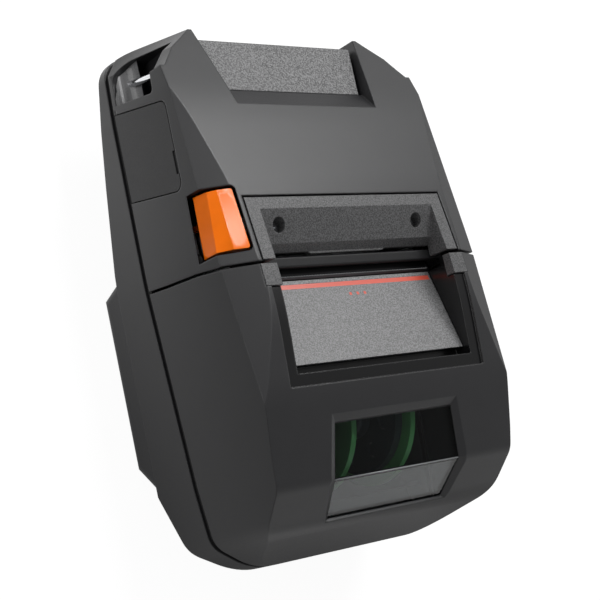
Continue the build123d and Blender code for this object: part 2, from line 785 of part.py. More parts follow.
def flap_face(clearance):
    """Outline of the socket flap in Y and Z, wider by clearance."""
    with BuildSketch(Plane.YZ) as face:
        with BuildLine():
            Polyline(
                (FLAP_LOW_Y, GAP_TOP), (FLAP_LOW_FAR_Y, FLAP_FAR_Z),
                (FLAP_TOP_FAR_Y, FLAP_FAR_Z), (FLAP_TOP_Y, GAP_TOP), close=True
            )
        make_face()
        fillet(face.vertices().group_by(Axis.Y)[-1], radius=FLAP_CORNER_RADIUS)
        if clearance:
            offset(amount=clearance)
    return face.sketch


def lever_body(gap, outer_gap, depth, rise, corner):
    """Lever's body between its two end faces, or its pocket: wider by the gaps, raised and rounded inside."""
    push = Vector(LEVER_PUSH[0], LEVER_PUSH[1])
    across = Vector(-LEVER_PUSH[1], LEVER_PUSH[0])
    with BuildPart() as body:
        for y, end_face in ((LEVER_LOW_Y - gap, LEVER_LOW_FACE), (LEVER_HIGH_Y + gap, LEVER_HIGH_FACE)):
            face = [Vector(inset - HALF_WIDTH, z) for inset, z in end_face]
            face[0] = face[0] - across * outer_gap
            face[-1] = face[-1] + across * gap
            top = [point - push * rise for point in face]
            points = top + [face[-1] + push * depth, face[0] + push * depth]
            with BuildSketch(Plane.XZ.offset(-y)):
                with BuildLine():
                    Polyline(*[(point.X, point.Y) for point in points], close=True)
                make_face()
        loft(ruled=True)
        aim = Vector(LEVER_PUSH[0], 0, LEVER_PUSH[1])
        upright = body.edges().filter_by(lambda e: abs((e % 0.5).dot(aim)) > 0.999)
        fillet(upright.sort_by(Axis.X)[-2:], radius=corner)
    return body.part


def rod(start, end, radius):
    """Round bar between two points."""
    direction = Vector(*end) - Vector(*start)
    with BuildPart() as bar:
        with BuildSketch(Plane(origin=start, z_dir=direction)):
            Circle(radius)
        extrude(amount=direction.length)
    return bar.part


def height_on(points, y):
    """Height at station y on a line of (Y, Z) points."""
    for (y_one, z_one), (y_two, z_two) in zip(points, points[1:]):
        if min(y_one, y_two) <= y <= max(y_one, y_two):
            return z_one + (z_two - z_one) * (y - y_one) / (y_two - y_one)
    raise ValueError(f"station {y} is off the line")


def underside_z(y):
    """Height of the back shell's underside at a station."""
    return height_on(UNDERSIDE, y)


def front_z(y):
    """Height of the front profile's straight lines at a station."""
    return height_on([BEVEL_TOP, BREAST, SUMMIT, LOWER_FRONT, FOLD, CHIN], y)


TAB_SUPPORT_Z = front_z(TAB_END_Y) - TAB_DEPTH - SEAT_GAP - TAB_FLOOR
CRADLE_POSTS = []
for post_x in (-CRADLE_POST_X, CRADLE_POST_X):
    for post_y in (CRADLE_LOW_Y + CRADLE_POST_INSET, CRADLE_HIGH_Y - CRADLE_POST_INSET):
        CRADLE_POSTS.append((post_x, post_y))


def belly_cutter(radius):
    """Material outside the rounded side edges of the underside, right and left."""
    stations = [(FORM_END, HORN_CORNER_X), (SHOULDER_Y, SHOULDER_X), (WAIST_Y, HALF_WIDTH), (HIP_Y, HIP_X)]
    stations = stations + [(TAIL_CORNER_Y, TAIL_CORNER_X), (-FORM_END, TAIL_FLAT_X)]
    with BuildPart() as cutter:
        for y, half_width in stations:
            z = underside_z(y)
            arc = []
            for degrees in (0, 30, 60, 90):
                angle = math.radians(degrees)
                x = half_width - radius + radius * math.sin(angle)
                arc.append((x, z + radius - radius * math.cos(angle)))
            with BuildSketch(Plane.XZ.offset(-y)):
                with BuildLine():
                    Polyline(*arc, (half_width + 9, z + 9), (half_width + 9, z - 9), (arc[0][0] - 3, z - 9),
                             close=True)
                make_face()
        loft(ruled=True)
        mirror(about=Plane.YZ)
    return cutter.part


# Back shell
UNDER_END = 60.0
under_block = side_prism(UNDERSIDE + [(UNDERSIDE[-1][0], UNDER_END), (UNDERSIDE[0][0], UNDER_END)], REACH)
floor_line = [(y, z + FLOOR_THICKNESS) for y, z in UNDERSIDE]
floor_block = side_prism(floor_line + [(UNDERSIDE[-1][0], UNDER_END), (UNDERSIDE[0][0], UNDER_END)], REACH)
rail_low_y = BATTERY_END_Y + BATTERY_RAIL_INSET
rail_high_y = BATTERY_TOP_Y - BATTERY_RAIL_INSET
pocket_line = [
    (rail_high_y + LOOSE_GAP, 0.0),
    (rail_high_y + LOOSE_GAP, underside_z(rail_high_y + LOOSE_GAP) + BATTERY_POCKET),
    (rail_low_y - LOOSE_GAP, underside_z(rail_low_y - LOOSE_GAP) + BATTERY_POCKET),
    (rail_low_y - LOOSE_GAP, 0.0),
]

with BuildPart() as back_hollow:
    extrude(plan_face(WALL), amount=UNDER_END, dir=(0, 0, 1))
    keep_within(floor_block)

with BuildPart() as post_room:
    extrude(plan_face(1.0), amount=GAP_BOTTOM + 10, dir=(0, 0, 1))
    keep_within(under_block)

with BuildPart() as back_posts:
    for x, y in CASE_SCREWS:
        join(rod((x, y, 5), (x, y, GAP_BOTTOM + 0.6), CASE_SCREW_BOSS_RADIUS))
    for x, y in BOARD_POSTS:
        join(rod((x, y, 5), (x, y, BOARD_Z - SEAT_GAP), BOARD_POST_RADIUS))
    for x, y in FRAME_POSTS:
        join(rod((x, y, 5), (x, y, BASE_PLATE_Z - SEAT_GAP), FRAME_POST_RADIUS))
    for x, y in CRADLE_POSTS:
        join(rod((x, y, 5), (x, y, CRADLE_Z - SEAT_GAP), CRADLE_POST_RADIUS))
    for sign in (1, -1):
        lug_low = KNUCKLE_X - LUG_REACH
        lug_high = KNUCKLE_X + LUG_REACH
        ends = sorted((sign * lug_low, sign * lug_high))
        low = (ends[0], -LENGTH / 2 + 0.5, HINGE_Z - LUG_BELOW)
        join(box_between(low, (ends[1], -LENGTH / 2 + LUG_DEPTH, GAP_BOTTOM)))
    keep_within(post_room.part)

with BuildPart() as back_shell:
    extrude(plan_face(0), amount=GAP_BOTTOM, dir=(0, 0, 1))
    keep_within(under_block)
    cut(belly_cutter(UNDERSIDE_EDGE_RADIUS))
    cut(back_hollow.part)
    join(back_posts.part)
    cut(side_prism(pocket_line, BATTERY_RAIL_HALF_WIDTH + LOOSE_GAP))
    cut(box_between((-CONTACT_HALF_WIDTH - SEAT_GAP, CONTACT_Y[0] - SEAT_GAP, 5),
                    (CONTACT_HALF_WIDTH + SEAT_GAP, CONTACT_Y[1] + SEAT_GAP, 30)))
    for x, y in CASE_SCREWS:
        seat_z = underside_z(y) + CASE_SCREW_SINK
        cut(rod((x, y, -5), (x, y, seat_z + CASE_SCREW_HEAD_DEPTH), CASE_SCREW_HEAD_RADIUS + SEAT_GAP))
        cut(rod((x, y, 0), (x, y, GAP_TOP + 5), CASE_SCREW_SHANK_RADIUS + SEAT_GAP))
    for x, y in FRAME_SCREWS:
        cut(rod((x, y, BASE_PLATE_Z - FRAME_SCREW_LENGTH), (x, y, GAP_TOP), SCREW_SHANK_RADIUS + RUN_GAP))
    for sign in (1, -1):
        slot = KNUCKLE_LENGTH / 2 + KNUCKLE_SIDE_GAP
        ends = sorted((sign * (KNUCKLE_X - slot), sign * (KNUCKLE_X + slot)))
        low = (ends[0], -LENGTH / 2 - 1, HINGE_Z - KNUCKLE_RADIUS - 0.4)
        cut(box_between(low, (ends[1], HINGE_Y + KNUCKLE_RADIUS + 0.5, GAP_TOP)))
    pin_end = HINGE_PIN_HALF_LENGTH + SEAT_GAP
    cut(rod((-pin_end, HINGE_Y, HINGE_Z), (pin_end, HINGE_Y, HINGE_Z), HINGE_PIN_RADIUS + PIN_SEAT))

export(back_shell, "back_shell")

with BuildPart() as hinge_pin:
    join(rod((-HINGE_PIN_HALF_LENGTH, HINGE_Y, HINGE_Z), (HINGE_PIN_HALF_LENGTH, HINGE_Y, HINGE_Z),
             HINGE_PIN_RADIUS))

export(hinge_pin, "hinge_pin")

with BuildPart() as seam_gasket:
    extrude(
        plan_face(GASKET_INSET).moved(Location((0, 0, GAP_BOTTOM))),
        amount=GASKET_HEIGHT,
        dir=(0, 0, 1),
    )
    extrude(
        plan_face(GASKET_INSET + GASKET_WIDTH).moved(Location((0, 0, GAP_BOTTOM - 1))),
        amount=GASKET_HEIGHT + 2,
        dir=(0, 0, 1),
        mode=Mode.SUBTRACT,
    )
    for sign in (1, -1):
        slot = KNUCKLE_LENGTH / 2 + KNUCKLE_SIDE_GAP
        ends = sorted((sign * (KNUCKLE_X - slot), sign * (KNUCKLE_X + slot)))
        cut(box_between((ends[0], -LENGTH / 2 - 1, 30), (ends[1], -LENGTH / 2 + 8, 40)))

export(seam_gasket, "seam_gasket")

with BuildPart() as case_screws:
    for x, y in CASE_SCREWS:
        seat_z = underside_z(y) + CASE_SCREW_SINK
        join(rod((x, y, seat_z), (x, y, seat_z + CASE_SCREW_HEAD_DEPTH), CASE_SCREW_HEAD_RADIUS))
        join(rod((x, y, seat_z + 0.5), (x, y, CASE_SCREW_TOP_Z), CASE_SCREW_SHANK_RADIUS))
        cut(rod((x, y, seat_z - 1), (x, y, seat_z + 1.2), SCREW_DRIVE_RADIUS))

export(case_screws, "case_screws")

# Front shell
valley_line = [
    (BEZEL_TOP_Y + PART_LINE, FORM_TOP),
    (BEZEL_TOP_Y + PART_LINE, VALLEY_FLOOR_Z),
    (-10.0, VALLEY_FLOOR_Z),
    (-10.0, FORM_TOP),
]
channel_line = [
    BEVEL_TOP,
    PLATE_START,
    (PLATE_START[0], GAP_TOP - 5),
    (REACH, GAP_TOP - 5),
    (REACH, FORM_TOP),
    (BEVEL_TOP[0], FORM_TOP),
]

with BuildPart() as front_hollow:
    join(inner)
    cut(channel_prism(CHANNEL_WALL, CHANNEL_FLOOR_Z))
    for sign in (1, -1):
        cut(strap_block(sign, STRAP_WALL, HALF_WIDTH))
    cut(box_between((-HALF_WIDTH, FLAP_LOW_FAR_Y, GAP_TOP - 1),
                    (-PORT_PAD_X, FLAP_TOP_Y - 1, FLAP_FAR_Z + 1)))

with BuildPart() as channel_cut:
    join(side_prism(channel_line, REACH))
    keep_within(channel_prism(0.0, GAP_TOP - 5))

with BuildPart() as flap_seat:
    extrude(flap_face(FLAP_GAP), amount=REACH, dir=(-1, 0, 0))
    cut(outer_form(FLAP_THICKNESS + FLAP_GAP))

with BuildPart() as front_posts:
    for x, y in CASE_SCREWS:
        join(rod((x, y, GAP_BOTTOM + 0.8), (x, y, FRONT_BOSS_TOP_Z), FRONT_BOSS_RADIUS))
    for sign in (1, -1):
        y = CASE_SCREWS[0][1]
        ends = sorted((sign * (LOW_SCREW_X + 1), sign * (HALF_WIDTH - 1)))
        join(box_between((ends[0], y - 1, GAP_TOP), (ends[1], y + 1, FRONT_BOSS_TOP_Z)))
    for x in (-NFC_POST_X, NFC_POST_X):
        for y in (NFC_LOW_Y + 3, NFC_HIGH_Y - 3):
            join(rod((x, y, NFC_Z + NFC_THICKNESS + SEAT_GAP), (x, y, FORM_TOP), 2.0))
    for y in BUTTON_PEGS:
        join(box_between((BUTTON_BOARD_X + BUTTON_BOARD_THICKNESS + SEAT_GAP, y - 2, LIGHT_Z - 2),
                         (HALF_WIDTH - 1, y + 2, LIGHT_Z + 2)))
    keep_within(outer)

with BuildPart() as front_shell:
    join(outer)
    keep_within(front_region)
    cut(front_hollow.part, channel_cut.part)
    join(front_posts.part)
    cut(side_prism(valley_line, BEZEL_HALF_WIDTH + PART_LINE))
    cut(lever_body(LEVER_GAP, LEVER_OUTER_GAP, 2 * LEVER_DEPTH, LEVER_DEPTH, LEVER_POCKET_RADIUS))
    for sign in (1, -1):
        cut(strap_block(sign, 0.0, HALF_WIDTH + 2))
        cut(strap_bar(sign, STRAP_BAR_RADIUS + RUN_GAP, SEAT_GAP))
    for y in BUTTON_YS.values():
        cut(rod((HALF_WIDTH - 5, y, BUTTON_Z), (HALF_WIDTH + 2, y, BUTTON_Z), BUTTON_RADIUS + FLAP_GAP))
        cut(rod((HALF_WIDTH - 5, y, LIGHT_Z), (HALF_WIDTH + 2, y, LIGHT_Z), LIGHT_RADIUS + SEAT_GAP))
    for x, y in CASE_SCREWS:
        cut(rod((x, y, GAP_BOTTOM), (x, y, CASE_SCREW_TOP_Z + 0.5), CASE_SCREW_SHANK_RADIUS + RUN_GAP))
    cut(flap_seat.part)
    cut(box_between((-REACH, PORT_WELL[0], PORT_WELL_LOW_Z),
                    (4 - PORT_PAD_X, PORT_WELL[1], PORT_WELL_TOP_Z)))
    for y, turn in ((FLAP_LOW_Y, -1), (FLAP_TOP_Y, 1)):
        cut(rod((FLAP_AXIS_X, y - turn * 2, FLAP_AXIS_Z), (FLAP_AXIS_X, y + turn * 1.6, FLAP_AXIS_Z),
                FLAP_PIN_RADIUS + RUN_GAP))

export(front_shell, "front_shell")


# Bezel round the label exit
bezel_sheet_line = [
    (BEZEL_TOP_Y, FORM_TOP),
    (BEZEL_FACE_TOP_Y, FORM_TOP),
    (BEZEL_FACE_TOP_Y, front_z(BEZEL_FACE_TOP_Y)),
    FACE_LOW,
    LIP_LOW,
    (LIP_LOW[0], LIP_BOTTOM_Z + 1.4),
    (LIP_LOW[0] + BEZEL_SHEET, LIP_BOTTOM_Z + 1.4),
    (LIP_LOW[0] + BEZEL_SHEET, LIP_LOW[1] - 0.4),
    (FACE_LOW[0] + 1.8, FACE_LOW[1] - 1.9),
    (BEZEL_FACE_TOP_Y, front_z(BEZEL_FACE_TOP_Y) - BEZEL_SHEET - 0.2),
    (BEZEL_TOP_Y, front_z(BEZEL_TOP_Y) - BEZEL_SHEET),
]
boss_line = [
    (BEZEL_FACE_TOP_Y, front_z(BEZEL_FACE_TOP_Y) - 1.0),
    (FACE_LOW[0] + 0.3, FACE_LOW[1] - 1.0),
    (FACE_LOW[0] + 0.3, SCREW_SEAT_Z - SCREW_SEAT_THICKNESS),
    (BEZEL_FACE_TOP_Y, SCREW_SEAT_Z - SCREW_SEAT_THICKNESS),
]
valley_side_line = [
    (BEZEL_LOW_Y, EXIT_LIP_Z + EXIT_LIP_THICKNESS + LOOSE_GAP),
    (BEZEL_TOP_Y - 1, EXIT_LIP_Z + EXIT_LIP_THICKNESS + LOOSE_GAP),
    (BEZEL_TOP_Y - 1, FORM_TOP),
    (BEZEL_LOW_Y, FORM_TOP),
]
tongue_points = [
    (TONGUE_TOP_X, LIP_LOW[0] + 0.2),
    (TONGUE_LOW_X, TONGUE_Y),
    (-TONGUE_LOW_X, TONGUE_Y),
    (-TONGUE_TOP_X, LIP_LOW[0] + 0.2),
]

with BuildPart() as bezel_bosses:
    for x in (-SCREW_X, SCREW_X):
        join(rod((x, SCREW_Y, 60), (x, SCREW_Y, FORM_TOP), SCREW_BOSS_RADIUS))
    keep_within(side_prism(boss_line, HALF_WIDTH))

with BuildPart() as bezel_frame:
    join(outer)
    cut(inner)
    keep_within(box_between((-BEZEL_HALF_WIDTH, BEZEL_LOW_Y, 60),
                            (BEZEL_HALF_WIDTH, BEZEL_TOP_Y, FORM_TOP)))
    cut(box_between((-BEZEL_RAIL_X, -5, 60), (BEZEL_RAIL_X, BEZEL_FACE_TOP_Y, FORM_TOP)))
    join(side_prism(bezel_sheet_line, BEZEL_RAIL_X + 0.1))
    join(bezel_bosses.part)
    for sign in (1, -1):
        centre = sign * (BEZEL_RAIL_X + BEZEL_SHEET / 2)
        join(side_prism(valley_side_line, BEZEL_SHEET / 2, centre))
    extrude(outline_face(tongue_points, Plane.XY.offset(LIP_BOTTOM_Z + 1.6)), amount=1.4, dir=(0, 0, 1))
    keep_within(outer)
    for x in (-SCREW_X, SCREW_X):
        cut(rod((x, SCREW_Y, SCREW_SEAT_Z), (x, SCREW_Y, FORM_TOP), SCREW_WELL_RADIUS))
        cut(rod((x, SCREW_Y, 60), (x, SCREW_Y, FORM_TOP), SCREW_SHANK_RADIUS + SEAT_GAP))

export(bezel_frame, "bezel_frame")

with BuildPart() as bezel_screws:
    for x in (-SCREW_X, SCREW_X):
        head_top = SCREW_SEAT_Z + SCREW_HEAD_HEIGHT
        join(rod((x, SCREW_Y, SCREW_SEAT_Z), (x, SCREW_Y, head_top), SCREW_HEAD_RADIUS))
        join(rod((x, SCREW_Y, SCREW_TIP_Z), (x, SCREW_Y, SCREW_SEAT_Z + 0.5), SCREW_SHANK_RADIUS))
        for size in ((2.8, 0.7), (0.7, 2.8)):
            low = (x - size[0] / 2, SCREW_Y - size[1] / 2, head_top - 0.9)
            cut(box_between(low, (x + size[0] / 2, SCREW_Y + size[1] / 2, head_top + 1)))

export(bezel_screws, "bezel_screws")

with BuildPart() as exit_lip:
    lip_half = CHASSIS_X + CHASSIS_THICKNESS
    join(box_between((-lip_half, EXIT_LIP_Y, EXIT_LIP_Z + SEAT_GAP / 3),
                     (lip_half, EXIT_LIP_Y + EXIT_LIP_DEPTH, EXIT_LIP_Z + EXIT_LIP_THICKNESS)))
    guide_edges = exit_lip.edges().filter_by(Axis.X).group_by(Axis.Z)[-1]
    fillet(guide_edges, radius=0.7)

export(exit_lip, "exit_lip")

# Rear plate between the horns and the strap bars
plate_slope = (PLATE_END[1] - PLATE_START[1]) / (PLATE_END[0] - PLATE_START[0])
plate_line = [
    (PLATE_START[0] + SEAT_GAP, PLATE_START[1] + SEAT_GAP * plate_slope),
    PLATE_END,
    (PLATE_END[0] + 0.6, PLATE_END[1] - 1.2),
    (PLATE_END[0] + 0.6, GAP_TOP + 0.4),
    (PLATE_END[0] + 0.6 - PLATE_THICKNESS, GAP_TOP + 0.4),
    (PLATE_END[0] + 0.6 - PLATE_THICKNESS, PLATE_END[1] - PLATE_THICKNESS),
    (PLATE_START[0] + SEAT_GAP, PLATE_START[1] - PLATE_THICKNESS),
]

with BuildPart() as rear_plate:
    join(side_prism(plate_line, REACH))
    keep_within(channel_prism(-PLATE_SIDE_GAP, GAP_TOP - 5))

export(rear_plate, "rear_plate")

with BuildPart() as strap_bars:
    for sign in (1, -1):
        join(strap_bar(sign, STRAP_BAR_RADIUS, 0.0))

export(strap_bars, "strap_bars")

# Chassis that carries the head, the latch, the idler and the motor
IDLER_DISTANCE = GEAR_MODULE * (PLATEN_TEETH + IDLER_TEETH) / 2
PINION_DISTANCE = GEAR_MODULE * (IDLER_TEETH + PINION_TEETH) / 2
IDLER_ANGLE = math.degrees(math.atan2(-(PLATEN_Y - HINGE_Y), PLATEN_Z - HINGE_Z))
IDLER_Y = PLATEN_Y + IDLER_DISTANCE * math.cos(math.radians(IDLER_ANGLE))
IDLER_Z = PLATEN_Z + IDLER_DISTANCE * math.sin(math.radians(IDLER_ANGLE))
MOTOR_Y = IDLER_Y + PINION_DISTANCE * math.cos(math.radians(MOTOR_ANGLE))
MOTOR_Z = IDLER_Z + PINION_DISTANCE * math.sin(math.radians(MOTOR_ANGLE))
chassis_side_line = [
    (CHASSIS_BACK_Y, BASE_PLATE_Z),
    (CHASSIS_BACK_Y, BRIDGE_Z),
    (CHASSIS_FRONT_Y + 4.2, BRIDGE_Z),
    (CHASSIS_FRONT_Y + 4.2, CHASSIS_HORN_Z),
    (CHASSIS_FRONT_Y, CHASSIS_HORN_Z),
    (CHASSIS_FRONT_Y, 56.0),
    (-9.0, 54.0),
    (-9.0, 42.0),
    (-2.0, BASE_PLATE_Z),
]

with BuildPart() as inner_frame:
    for sign in (1, -1):
        middle = sign * (CHASSIS_X + CHASSIS_THICKNESS / 2)
        join(side_prism(chassis_side_line, CHASSIS_THICKNESS / 2, middle))
    join(box_between((-CHASSIS_X - 0.5, 4, BASE_PLATE_Z),
                     (CHASSIS_X + 0.5, CHASSIS_BACK_Y, BASE_PLATE_Z + BASE_PLATE_THICKNESS)))
    join(box_between((-CHASSIS_X - 0.5, BRIDGE_LOW_Y, BRIDGE_Z - BRIDGE_THICKNESS),
                     (CHASSIS_X + 0.5, CHASSIS_BACK_Y, BRIDGE_Z)))
    join(box_between((-CHASSIS_X - 0.5, SPRING_PLATE_Y, SPRING_STRIP_Z[0]),
                     (CHASSIS_X + 0.5, SPRING_PLATE_Y + SPRING_PLATE_THICKNESS, SPRING_STRIP_Z[1])))
    join(box_between((-SPRING_PLATE_X, SPRING_PLATE_Y, SPRING_STRIP_Z[0]),
                     (SPRING_PLATE_X, SPRING_PLATE_Y + SPRING_PLATE_THICKNESS, SPRING_PLATE_TOP_Z)))
    for x in (-SCREW_X, SCREW_X):
        post_top = SCREW_SEAT_Z - SCREW_SEAT_THICKNESS - SEAT_GAP
        join(rod((x, SCREW_Y, BRIDGE_Z - BRIDGE_THICKNESS), (x, SCREW_Y, post_top), SCREW_POST_RADIUS))
        cut(rod((x, SCREW_Y, BRIDGE_Z - 5), (x, SCREW_Y, post_top + 1), SCREW_SHANK_RADIUS + RUN_GAP))
    for x, y in FRAME_SCREWS:
        cut(rod((x, y, 30), (x, y, 36), SCREW_SHANK_RADIUS + SEAT_GAP))
    cut(rod((-REACH, LATCH_Y, LATCH_Z), (REACH, LATCH_Y, LATCH_Z), LATCH_SHAFT_RADIUS + RUN_GAP))
    cut(rod((-REACH, HEAD_PIVOT_Y, HEAD_PIVOT_Z), (REACH, HEAD_PIVOT_Y, HEAD_PIVOT_Z),
            HEAD_PIVOT_RADIUS + PIN_SEAT))
    cut(rod((CHASSIS_X - 1, MOTOR_Y, MOTOR_Z), (CHASSIS_X + 3, MOTOR_Y, MOTOR_Z), MOTOR_SHAFT_RADIUS + 1))
    cut(rod((CHASSIS_X - 1, IDLER_Y, IDLER_Z), (CHASSIS_X + 3, IDLER_Y, IDLER_Z),
            IDLER_AXLE_RADIUS + PIN_SEAT))

export(inner_frame, "inner_frame")

with BuildPart() as frame_screws:
    for x, y in FRAME_SCREWS:
        seat = BASE_PLATE_Z + BASE_PLATE_THICKNESS
        join(rod((x, y, seat), (x, y, seat + FRAME_SCREW_HEAD_HEIGHT), SCREW_HEAD_RADIUS))
        join(rod((x, y, BASE_PLATE_Z - FRAME_SCREW_LENGTH + 0.5), (x, y, seat + 0.5), SCREW_SHANK_RADIUS))
        cut(rod((x, y, seat + 0.6), (x, y, seat + 3), SCREW_DRIVE_RADIUS))

export(frame_screws, "frame_screws")

with BuildPart() as head_pivot_pin:
    reach = CHASSIS_X + CHASSIS_THICKNESS
    join(rod((-reach, HEAD_PIVOT_Y, HEAD_PIVOT_Z), (reach, HEAD_PIVOT_Y, HEAD_PIVOT_Z), HEAD_PIVOT_RADIUS))

export(head_pivot_pin, "head_pivot_pin")

with BuildPart() as idler_axle:
    join(rod((CHASSIS_X, IDLER_Y, IDLER_Z), (GEAR_X + GEAR_WIDTH + 0.3, IDLER_Y, IDLER_Z),
             IDLER_AXLE_RADIUS))

export(idler_axle, "idler_axle")

with BuildPart() as motor:
    motor_end = CHASSIS_X - SEAT_GAP
    join(rod((motor_end - MOTOR_LENGTH, MOTOR_Y, MOTOR_Z), (motor_end, MOTOR_Y, MOTOR_Z), MOTOR_RADIUS))
    round_edges = motor.edges().filter_by(GeomType.CIRCLE)
    fillet(round_edges, radius=0.6)
    cut(rod((motor_end - MOTOR_SHAFT_SINK, MOTOR_Y, MOTOR_Z), (motor_end + 1, MOTOR_Y, MOTOR_Z),
            MOTOR_SHAFT_RADIUS + RUN_GAP))

export(motor, "motor")

# Print head, its heat sink and its springs
with BuildPart() as print_head:
    face_y = PLATEN_Y + PLATEN_RADIUS + HEAD_GAP
    join(box_between((-HEAD_HALF_LENGTH, face_y, CERAMIC_BOTTOM_Z),
                     (HEAD_HALF_LENGTH, face_y + CERAMIC_THICKNESS, HEAD_TOP_Z)))

export(print_head, "print_head")

with BuildPart() as head_heatsink:
    sink_y = face_y + CERAMIC_THICKNESS
    join(box_between((-HEAD_HALF_LENGTH, sink_y, HEAD_BOTTOM_Z),
                     (HEAD_HALF_LENGTH, sink_y + HEATSINK_THICKNESS, HEAD_TOP_Z)))
    cut(rod((-REACH, HEAD_PIVOT_Y, HEAD_PIVOT_Z), (REACH, HEAD_PIVOT_Y, HEAD_PIVOT_Z),
            HEAD_PIVOT_RADIUS + RUN_GAP))
    for x in (-HEAD_SPRING_X, HEAD_SPRING_X):
        back_y = sink_y + HEATSINK_THICKNESS
        cut(rod((x, back_y - HEAD_SPRING_SEAT, HEAD_SPRING_Z), (x, back_y + 1, HEAD_SPRING_Z),
                HEAD_SPRING_RADIUS + HEAD_SPRING_WIRE + SEAT_GAP))

export(head_heatsink, "head_heatsink")

with BuildPart() as head_springs:
    spring_start = sink_y + HEATSINK_THICKNESS - HEAD_SPRING_SEAT
    spring_height = SPRING_PLATE_Y - HEAD_SPRING_REAR_GAP - spring_start
    for x in (-HEAD_SPRING_X, HEAD_SPRING_X):
        stand = Plane(origin=(x, spring_start, HEAD_SPRING_Z), z_dir=(0, 1, 0))
        join(coil(stand, HEAD_SPRING_RADIUS, HEAD_SPRING_WIRE, spring_height, HEAD_SPRING_TURNS))

export(head_springs, "head_springs")

# Release lever and the latch shaft with its two hooks
with BuildPart() as release_lever:
    join(lever_body(0.0, 0.0, LEVER_DEPTH, 0.0, LEVER_CORNER_RADIUS))
    join(box_between((FINGER_X[0], FINGER_Y - FINGER_RADIUS, FINGER_Z),
                     (FINGER_X[1], FINGER_Y + FINGER_RADIUS, FINGER_TOP_Z)))
    join(rod((FINGER_X[0], FINGER_Y, FINGER_Z), (FINGER_X[1], FINGER_Y, FINGER_Z), FINGER_RADIUS))

export(release_lever, "release_lever")

hook_line = [
    (LATCH_Y, LATCH_Z + 2.9),
    (-2.2, 66.8),
    (-4.3, 65.5),
    (-3.2, 64.1),
    (-2.6, 62.4),
    (-0.8, 61.4),
    (LATCH_Y - 2.0, LATCH_Z - 2.2),
]
crank_line = [
    (LATCH_Y, FINGER_Z - FINGER_RADIUS - CRANK_GAP),
    (FINGER_Y + 1.5, FINGER_Z - FINGER_RADIUS - CRANK_GAP),
    (FINGER_Y + 1.5, LATCH_Z - 0.6),
    (LATCH_Y, LATCH_Z - 2.4),
]

with BuildPart() as latch_shaft:
    join(rod((CRANK_X[0], LATCH_Y, LATCH_Z), (LATCH_RIGHT_END, LATCH_Y, LATCH_Z), LATCH_SHAFT_RADIUS))
    for sign in (1, -1):
        middle = sign * (HOOK_X + HOOK_THICKNESS / 2)
        join(rod((middle - HOOK_THICKNESS / 2, LATCH_Y, LATCH_Z),
                 (middle + HOOK_THICKNESS / 2, LATCH_Y, LATCH_Z), LATCH_HUB_RADIUS))
        join(side_prism(hook_line, HOOK_THICKNESS / 2, middle))
    join(rod((CRANK_X[0], LATCH_Y, LATCH_Z), (CRANK_X[1], LATCH_Y, LATCH_Z), 2.4))
    join(side_prism(crank_line, (CRANK_X[1] - CRANK_X[0]) / 2, (CRANK_X[0] + CRANK_X[1]) / 2))

export(latch_shaft, "latch_shaft")

with BuildPart() as latch_spring:
    wound = Plane(origin=(LATCH_SPRING_X, LATCH_Y, LATCH_Z), z_dir=(1, 0, 0))
    join(coil(wound, LATCH_SPRING_RADIUS, LATCH_SPRING_WIRE, LATCH_SPRING_LENGTH, LATCH_SPRING_TURNS))

export(latch_spring, "latch_spring")

# Socket flap
with BuildPart() as flap_skin:
    join(outer)
    cut(outer_form(FLAP_THICKNESS))

with BuildPart() as flap_bead:
    bead_radius = FLAP_AXIS_Z - GAP_TOP
    join(rod((FLAP_AXIS_X, FLAP_LOW_Y - 5, FLAP_AXIS_Z),
             (FLAP_AXIS_X, FLAP_TOP_Y + 5, FLAP_AXIS_Z), bead_radius))
    join(box_between((-REACH, FLAP_LOW_FAR_Y - 5, FLAP_AXIS_Z),
                     (FLAP_AXIS_X + 5, FLAP_TOP_Y + 5, FORM_TOP)))

with BuildPart() as usb_flap:
    extrude(flap_face(0.0), amount=REACH, dir=(-1, 0, 0))
    keep_within(flap_skin.part)
    keep_within(flap_bead.part)
    cut(box_between((-REACH, FLAP_NOTCH_Y - 4, FLAP_FAR_Z - FLAP_NOTCH_DEPTH),
                    (-HALF_WIDTH + FLAP_NOTCH_SINK, FLAP_NOTCH_Y + 4, FLAP_FAR_Z + 1)))
    for y, turn in ((FLAP_LOW_Y, -1), (FLAP_TOP_Y, 1)):
        start = (FLAP_AXIS_X, y - turn * 1.5, FLAP_AXIS_Z)
        join(rod(start, (FLAP_AXIS_X, y + turn * FLAP_PIN_LENGTH, FLAP_AXIS_Z), FLAP_PIN_RADIUS))

export(usb_flap, "usb_flap")

# Battery pack, its cells, its latch and the contacts above it
battery_line = [
    (BATTERY_REST_TOP_Y, 0.0),
    (BATTERY_TOP_Y, underside_z(BATTERY_TOP_Y) - LOOSE_GAP),
    (BATTERY_END_Y, underside_z(BATTERY_END_Y) - LOOSE_GAP),
    (BATTERY_REST_END_Y, 0.0),
]
rail_line = [
    (rail_high_y, 5.0),
    (rail_high_y, underside_z(rail_high_y) + BATTERY_RAIL_HEIGHT),
    (rail_low_y, underside_z(rail_low_y) + BATTERY_RAIL_HEIGHT),
    (rail_low_y, 5.0),
]

with BuildPart() as battery_hollow:
    with BuildSketch(Plane.YZ.offset(-BATTERY_HALF_WIDTH + BATTERY_WALL)):
        add(outline_face(battery_line, Plane.XY))
        offset(amount=-BATTERY_WALL, kind=Kind.INTERSECTION)
    extrude(amount=2 * (BATTERY_HALF_WIDTH - BATTERY_WALL))

